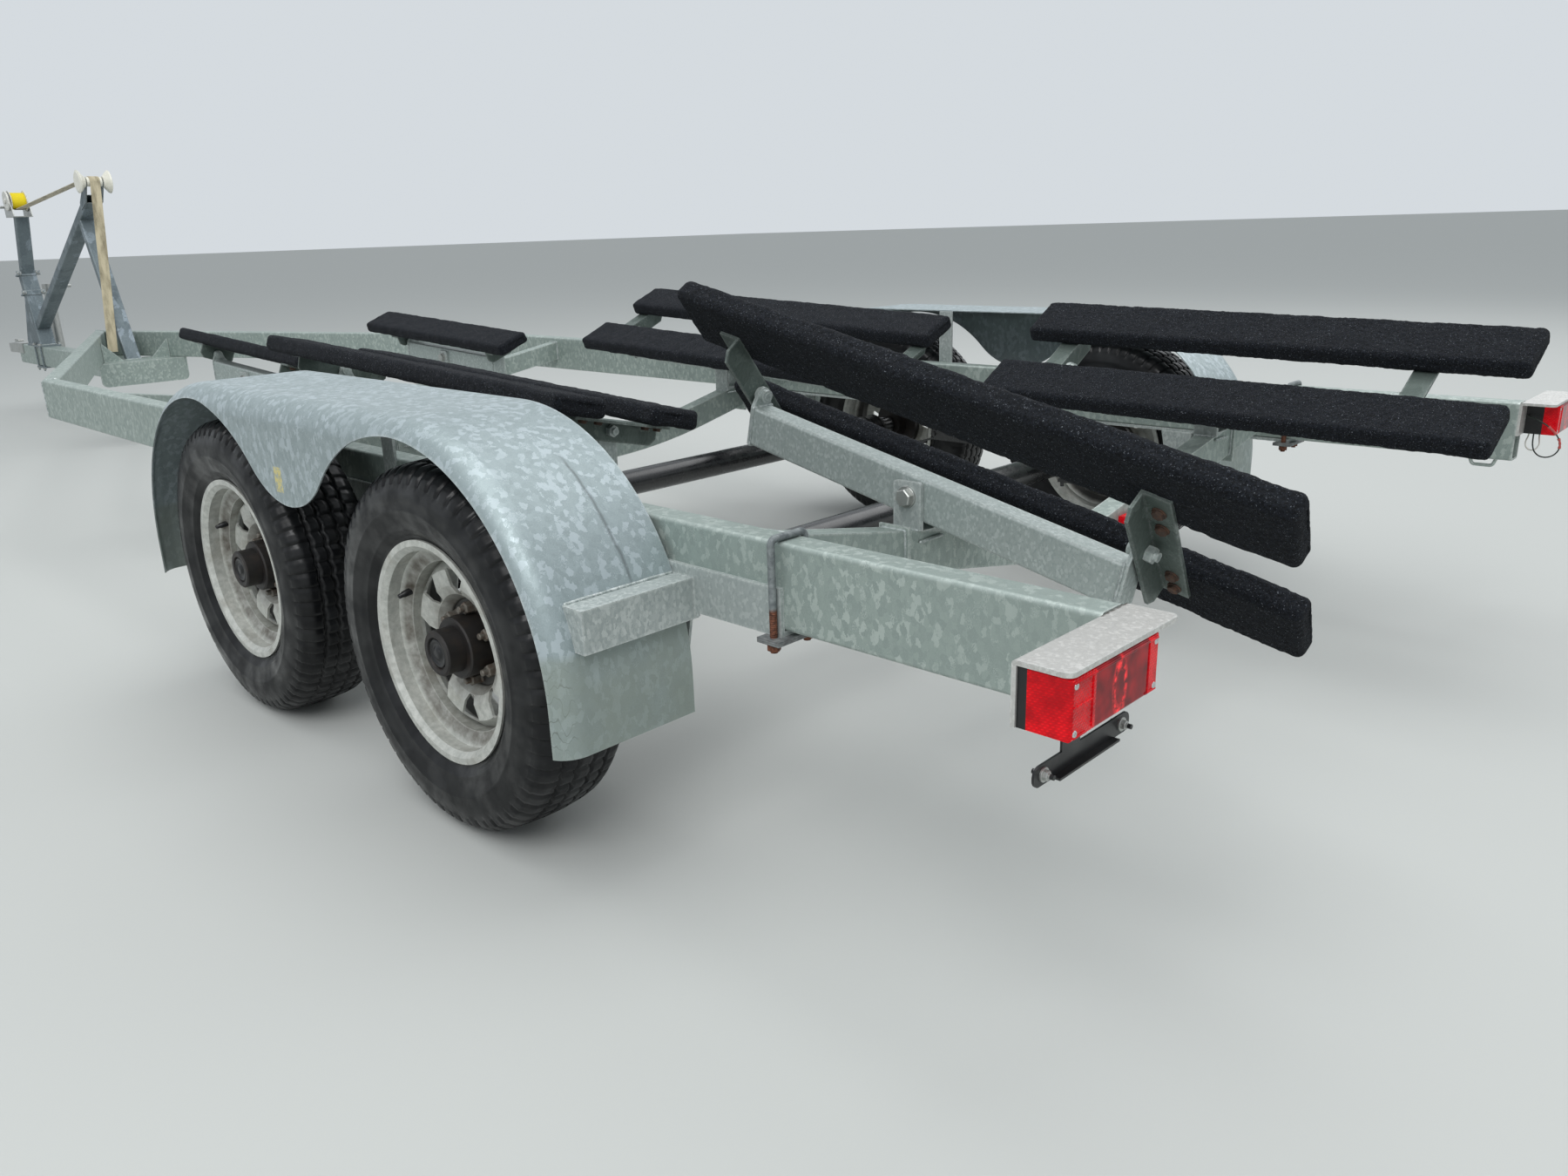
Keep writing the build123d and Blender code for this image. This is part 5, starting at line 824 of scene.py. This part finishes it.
def board(name, index, y, step):
    """A carpeted board. One parameter runs along it and the other round its section, a rectangle with
    quarter-circle corners. The ends turn in on a quarter circle and close, and the whole skin is moved
    along its normal by waves of 90 mm and two finer sizes, as glued carpet lies. Its lapped edge stands
    up by a millimetre along the section's lower side."""
    fore, aft = BUNKS[name][5]
    half_y = BOARD_WIDTH / 2
    half_z = (BOARD_HIGH - BOARD_LOW) / 2
    corner = 0.014
    quarter = np.linspace(0, np.pi / 2, 7)
    section = []
    for k, (sy, sz) in enumerate(((1, 1), (-1, 1), (-1, -1), (1, -1))):
        turn = quarter + k * np.pi / 2
        section.append(np.column_stack([sy * (half_y - corner) + corner * np.cos(turn),
                                        sz * (half_z - corner) + corner * np.sin(turn)]))
    rim = np.vstack(section)
    rim, _ = resampled(np.column_stack([rim, 0 * rim[:, :1]]), step, closed=True)
    rim = rim[:-1, :2]
    forward = np.roll(rim, -1, 0) - np.roll(rim, 1, 0)
    normal = np.column_stack([forward[:, 1], -forward[:, 0]])
    normal /= np.linalg.norm(normal, axis=1)[:, None]
    bend = 0.014
    turn = np.linspace(np.pi / 2, 0, 6)
    end = bend * (1 - np.sin(turn))
    middle = np.arange(-aft + bend + step, fore - bend - step / 2, step)
    x = np.concatenate([end - aft, middle, fore - end[::-1]])
    inward = bend * (1 - np.cos(turn))
    inward = np.concatenate([inward, 0 * middle, inward[::-1]])
    skin = rim[None] - normal[None] * inward[:, None, None]
    points = np.dstack([np.repeat(x[:, None], len(rim), 1), skin])
    rings = 8
    scales = np.linspace(0, 1, rings + 1)[:-1][:, None, None] * (0, 1, 1) + (1, 0, 0)
    points = np.concatenate([points[:1] * scales, points, points[-1:] * scales[::-1]])
    out = np.dstack([np.zeros(points.shape[:2]), np.broadcast_to(normal[None], points.shape[:2] + (2,))])
    out[:rings] = (-1, 0, 0)
    out[-rings:] = (1, 0, 0)
    fine = max(0.012, 3.5 * step)
    swell = (0.0007 * waves(points, 0.090, index) + 0.0004 * waves(points, 3 * fine, index + 50, 16)
             + 0.0006 * waves(points, fine, index + 90, 24))
    upper = 1 / (1 + np.exp(-(points[..., 2] + 0.004 + 0.002 * waves(points, 0.12, index + 7)) / 0.0006))
    points = points + out * (np.clip(swell, -0.0015, 0.0012) - 0.0009 * upper)[..., None]
    points = points + (0, y, (BOARD_LOW + BOARD_HIGH) / 2)
    return grid(on_pad(name, points))


for number, name in enumerate(BUNKS):
    step = 0.0036 if name.startswith("aft") else 0.0075
    boards = [board(name, number * 4 + k, y, step) for k, y in enumerate(BUNKS[name][6])]
    piece("carpet_" + name, joined(boards), "carpet", "bunk_pad_" + name, stands_for=("bunk_boards_" + name,))


def pad_bolts(name):
    """The nuts and washers under the angles' flat legs, where the bolts through the boards end."""
    fore, aft = BUNKS[name][4]
    leg = 0.0133 + 0.028
    spots_y = (0.098, 0.055, -0.080, -0.116) if len(BUNKS[name][6]) == 2 else (0.030, -0.030)
    down = on_pad(name, (0, 0, -1)) - on_pad(name, (0, 0, 0))
    parts = []
    for x in (fore + leg, -aft - leg):
        for k, y in enumerate(spots_y):
            base = on_pad(name, (x, y, 0.019))
            parts.append(bolt(base[0], down[0], 0.017, 0.006, 0.0120, 0.4 + k))
    piece("pad_bolts_" + name, joined(parts), "rust", "bunk_pad_" + name, smooth=False)


def arm_welds(name):
    """The beads round a beam where its end plates are welded on."""
    fore, aft = BUNKS[name][4]
    y, z = 0.0255, 0.0385
    parts = []
    for x in (fore, -aft):
        loop = [(x, y, z), (x, -y, z), (x, -y, -z), (x, y, -z)]
        parts.append(bead(on_arm(name, loop), 0.0028, closed=True))
    piece("arm_welds_" + name, joined(parts), "weld", "bunk_arm_" + name)


for name in BUNKS:
    pad_bolts(name)
    arm_welds(name)


def clevis_bolts():
    """Bright heads and nuts on the pins that the beams pitch on, outside the clevis ears."""
    parts = []
    for x, y, z, side in [row[:4] for row in BUNKS.values()]:
        for out in (1, -1):
            base = at((x, side * y + out * 0.034, z))[0]
            parts.append(lathe(base, (0, out, 0), [(-0.001, 0.0194), (0.0038, 0.0194), (0.0043, 0.0188)], 32))
            parts.append(hexagon(base + (0, out * 0.0043, 0), (0, out, 0), 0.0285, 0.0103))
    piece("clevis_bolts", joined(parts), "zinc", "frame", smooth=False)


clevis_bolts()


# Welds on the frame. Columns: X, height at the rails, slope in degrees, radius of the sweep
CROSSMEMBERS = ((0.586, 0.557, 10.6, 0.0), (2.356, 0.557, 13.0, 2.1), (3.876, 0.542, 9.3, 0.0))
MEMBER_HALF_DEPTH = 0.0375
SPLICE_Y = 0.668
FENDER_TUBE_TOP = 0.512
KINK = 4.301


def middle_height(row, y):
    """Height of a crossmember's centre line at a distance from the middle: a straight slope down from
    the rail, and inside the sweep an arc that is tangent to it."""
    _, end_z, slope, sweep = row
    slope = np.radians(slope)
    middle = end_z - RAIL_INSIDE * np.tan(slope)
    if y < sweep * np.sin(slope):
        flat = middle + sweep * np.sin(slope) * np.tan(slope) - sweep * (1 - np.cos(slope))
        return flat + sweep - np.sqrt(sweep ** 2 - y ** 2)
    return middle + y * np.tan(slope)


def crossmember_welds(row):
    """Beads round a crossmember's end at the rail and on both faces of its splice plate."""
    x, _, slope, _ = row
    rise = MEMBER_HALF_DEPTH / np.cos(np.radians(slope))
    half = 0.0255
    parts = []
    for y, radius in ((RAIL_INSIDE - 0.001, 0.0042), (SPLICE_Y - 0.0035, 0.003), (SPLICE_Y + 0.0035, 0.003)):
        z = middle_height(row, y)
        loop = at((x - half, y, z + rise), (x + half, y, z + rise), (x + half, y, z - rise),
                  (x - half, y, z - rise))
        parts.append(bead(loop, radius, closed=True))
    return parts


def clevis_welds(name):
    """Beads under a clevis: along the lips that hang over the crossmember and beside its ears."""
    x, y = BUNKS[name][:2]
    row = next(r for r in CROSSMEMBERS if r[0] == x)
    slope = np.radians(row[2])
    top = middle_height(row, y) + MEMBER_HALF_DEPTH / np.cos(slope)
    parts = []
    for dx in (-0.0285, 0.0285):
        parts.append(bead(at((x + dx, y - 0.034, top - 0.0145), (x + dx, y + 0.034, top - 0.0145)), 0.0034))
    for dy in (-0.0350, 0.0350):
        z = top + dy * np.tan(slope)
        parts.append(bead(at((x - 0.027, y + dy, z), (x + 0.027, y + dy, z)), 0.0032))
    return parts


def fender_welds():
    """Beads along the fender tubes: where the skin crosses their tops, and round their roots."""
    parts = []
    top = FENDER_TUBE_TOP
    y = RAIL_OUTSIDE + 0.0015
    for skin, root, inward in ((0.771, 0.723, 1), (2.4145, 2.4625, -1)):
        x = skin - 0.001 * inward
        parts.append(bead(at((x, 1.024, top + 0.001), (x, 1.243, top + 0.001)), 0.0032))
        parts.append(bead(at((root, y, 0.442), (root, y, top), (skin, y, top)), 0.0036))
    return parts


def rail_welds():
    """Beads at the lamp guard and across the mitre of the kink."""
    out = RAIL_OUTSIDE + 0.0005
    low, high, inner = RAIL_BOTTOM + 0.004, RAIL_TOP - 0.004, 4.2916
    return [bead(at((0.001, out, LAMP_LOW), (0.001, out, high)), 0.0030),
            bead(at((KINK, out, low), (KINK, out, high)), 0.0032),
            bead(at((KINK - 0.0005, out - 0.006, RAIL_TOP), (inner, RAIL_INSIDE + 0.006, RAIL_TOP)), 0.0032),
            bead(at((inner, RAIL_INSIDE, low), (inner, RAIL_INSIDE, high)), 0.0032)]


def stand_welds():
    """Beads at the feet of the post and the strut, under the brace, and round the jack's plate."""
    def loop(x, half_x, half_y, z):
        return at((x - half_x, -half_y, z), (x + half_x, -half_y, z), (x + half_x, half_y, z),
                  (x - half_x, half_y, z))

    y = -0.0505
    jack = at((8.431, y, 0.340), (8.521, y, 0.340), (8.521, y, 0.455), (8.431, y, 0.455))
    nose = at((6.975, 0, RAIL_TOP), (7.126, 0, RAIL_TOP))
    return [bead(loop(8.192, 0.0315, 0.0465, 0.4705), 0.0040, closed=True),
            bead(loop(6.566, 0.0215, 0.0385, 0.4605), 0.0038, closed=True),
            bead(jack, 0.0034, closed=True), bead(nose, 0.0032)]


left_beads = rail_welds() + fender_welds()
for row in CROSSMEMBERS:
    left_beads += crossmember_welds(row)
for name in ("aft_left", "mid_left", "front_left"):
    left_beads += clevis_welds(name)
piece("frame_welds", joined([both_sides(left_beads)] + stand_welds()), "weld", "frame")


# Lamps

def bar(start, end, radius):
    """A straight round rib with round ends: a circle carried along it whose radius follows a half
    circle at each end."""
    start = np.asarray(start, float)
    run = np.asarray(end, float) - start
    length = np.linalg.norm(run)
    cap = radius * (1 - np.cos(np.linspace(0, np.pi / 2, 5)))
    marks = np.concatenate([cap, length - cap[::-1]])
    near = np.minimum(marks, length - marks)
    radii = np.sqrt(np.clip(radius ** 2 - np.clip(radius - near, 0, None) ** 2, 0, None))
    return lathe(start, run, list(zip(marks, radii)), 12)


def lamp_relief():
    """Moulded ribs on the lens: a ridge along its top, short ones at its lower corners, and the lines
    that part the side reflector; and the four screws that hold it."""
    back = -0.0732
    ribs = ((1.014, 0.588, 1.199, 0.588, 0.0016), (1.014, 0.525, 1.040, 0.525, 0.0014),
            (1.172, 0.525, 1.199, 0.525, 0.0014), (1.160, 0.560, 1.2005, 0.560, 0.0012),
            (1.160, 0.526, 1.160, 0.586, 0.0012), (1.034, 0.526, 1.034, 0.586, 0.0012))
    parts = [bar(*at((back, y0, z0), (back, y1, z1)), radius) for y0, z0, y1, z1, radius in ribs]
    piece("lens_ribs", both_sides(parts), "lens", "frame")
    screws = []
    for y in (1.018, 1.195):
        for z in (0.584, 0.529):
            base = at((-0.0725, y, z))[0]
            screws.append(lathe(base, (-1, 0, 0), [(-0.001, 0.0046), (0.0002, 0.0046), (0.0014, 0.0036),
                                                   (0.0018, 0.0018), (0.0010, 0.0016)], 20))
    piece("lens_screws", both_sides(screws), "chrome", "frame")
    plate = []
    for y in (0.9906, 1.1684):
        for x, out, turn, stub in ((-0.022, -1, y * 9, 0.004), (-0.019, 1, y * 7, 0.0)):
            plate.append(bolt(at((x, y, 0.456))[0], (out, 0, 0), 0.011, 0.005, 0.009, turn, stub))
    piece("plate_nuts", joined(plate), "zinc", "frame", smooth=False)


def stand_nuts():
    """Nuts on the U-bolts round the post and on the bolts that clamp its foot to the tongue."""
    lean = np.radians(13.2)
    foot = at((8.190, 0, RAIL_BOTTOM))[0]
    up = np.array((np.sin(lean), 0, np.cos(lean)))
    rear = np.array((-np.cos(lean), 0, np.sin(lean)))
    parts = []
    for height in (0.343, 0.468):
        for y in (-0.053, 0.053):
            base = foot + height * up + 0.038 * rear + (0, y, 0)
            parts.append(bolt(base, rear, 0.019, 0.010, 0.0125, y * 40))
    for x in (8.135, 8.255):
        for y in (-0.057, 0.057):
            for z, out in ((0.470, 1), (0.325, -1)):
                parts.append(bolt(at((x, y, z))[0], (0, 0, out), 0.017, 0.009, 0.0115, x + out * y))
    piece("stand_nuts", joined(parts), "zinc", "frame", smooth=False)


lamp_relief()
stand_nuts()

bpy.context.scene.view_settings.view_transform = "Standard"
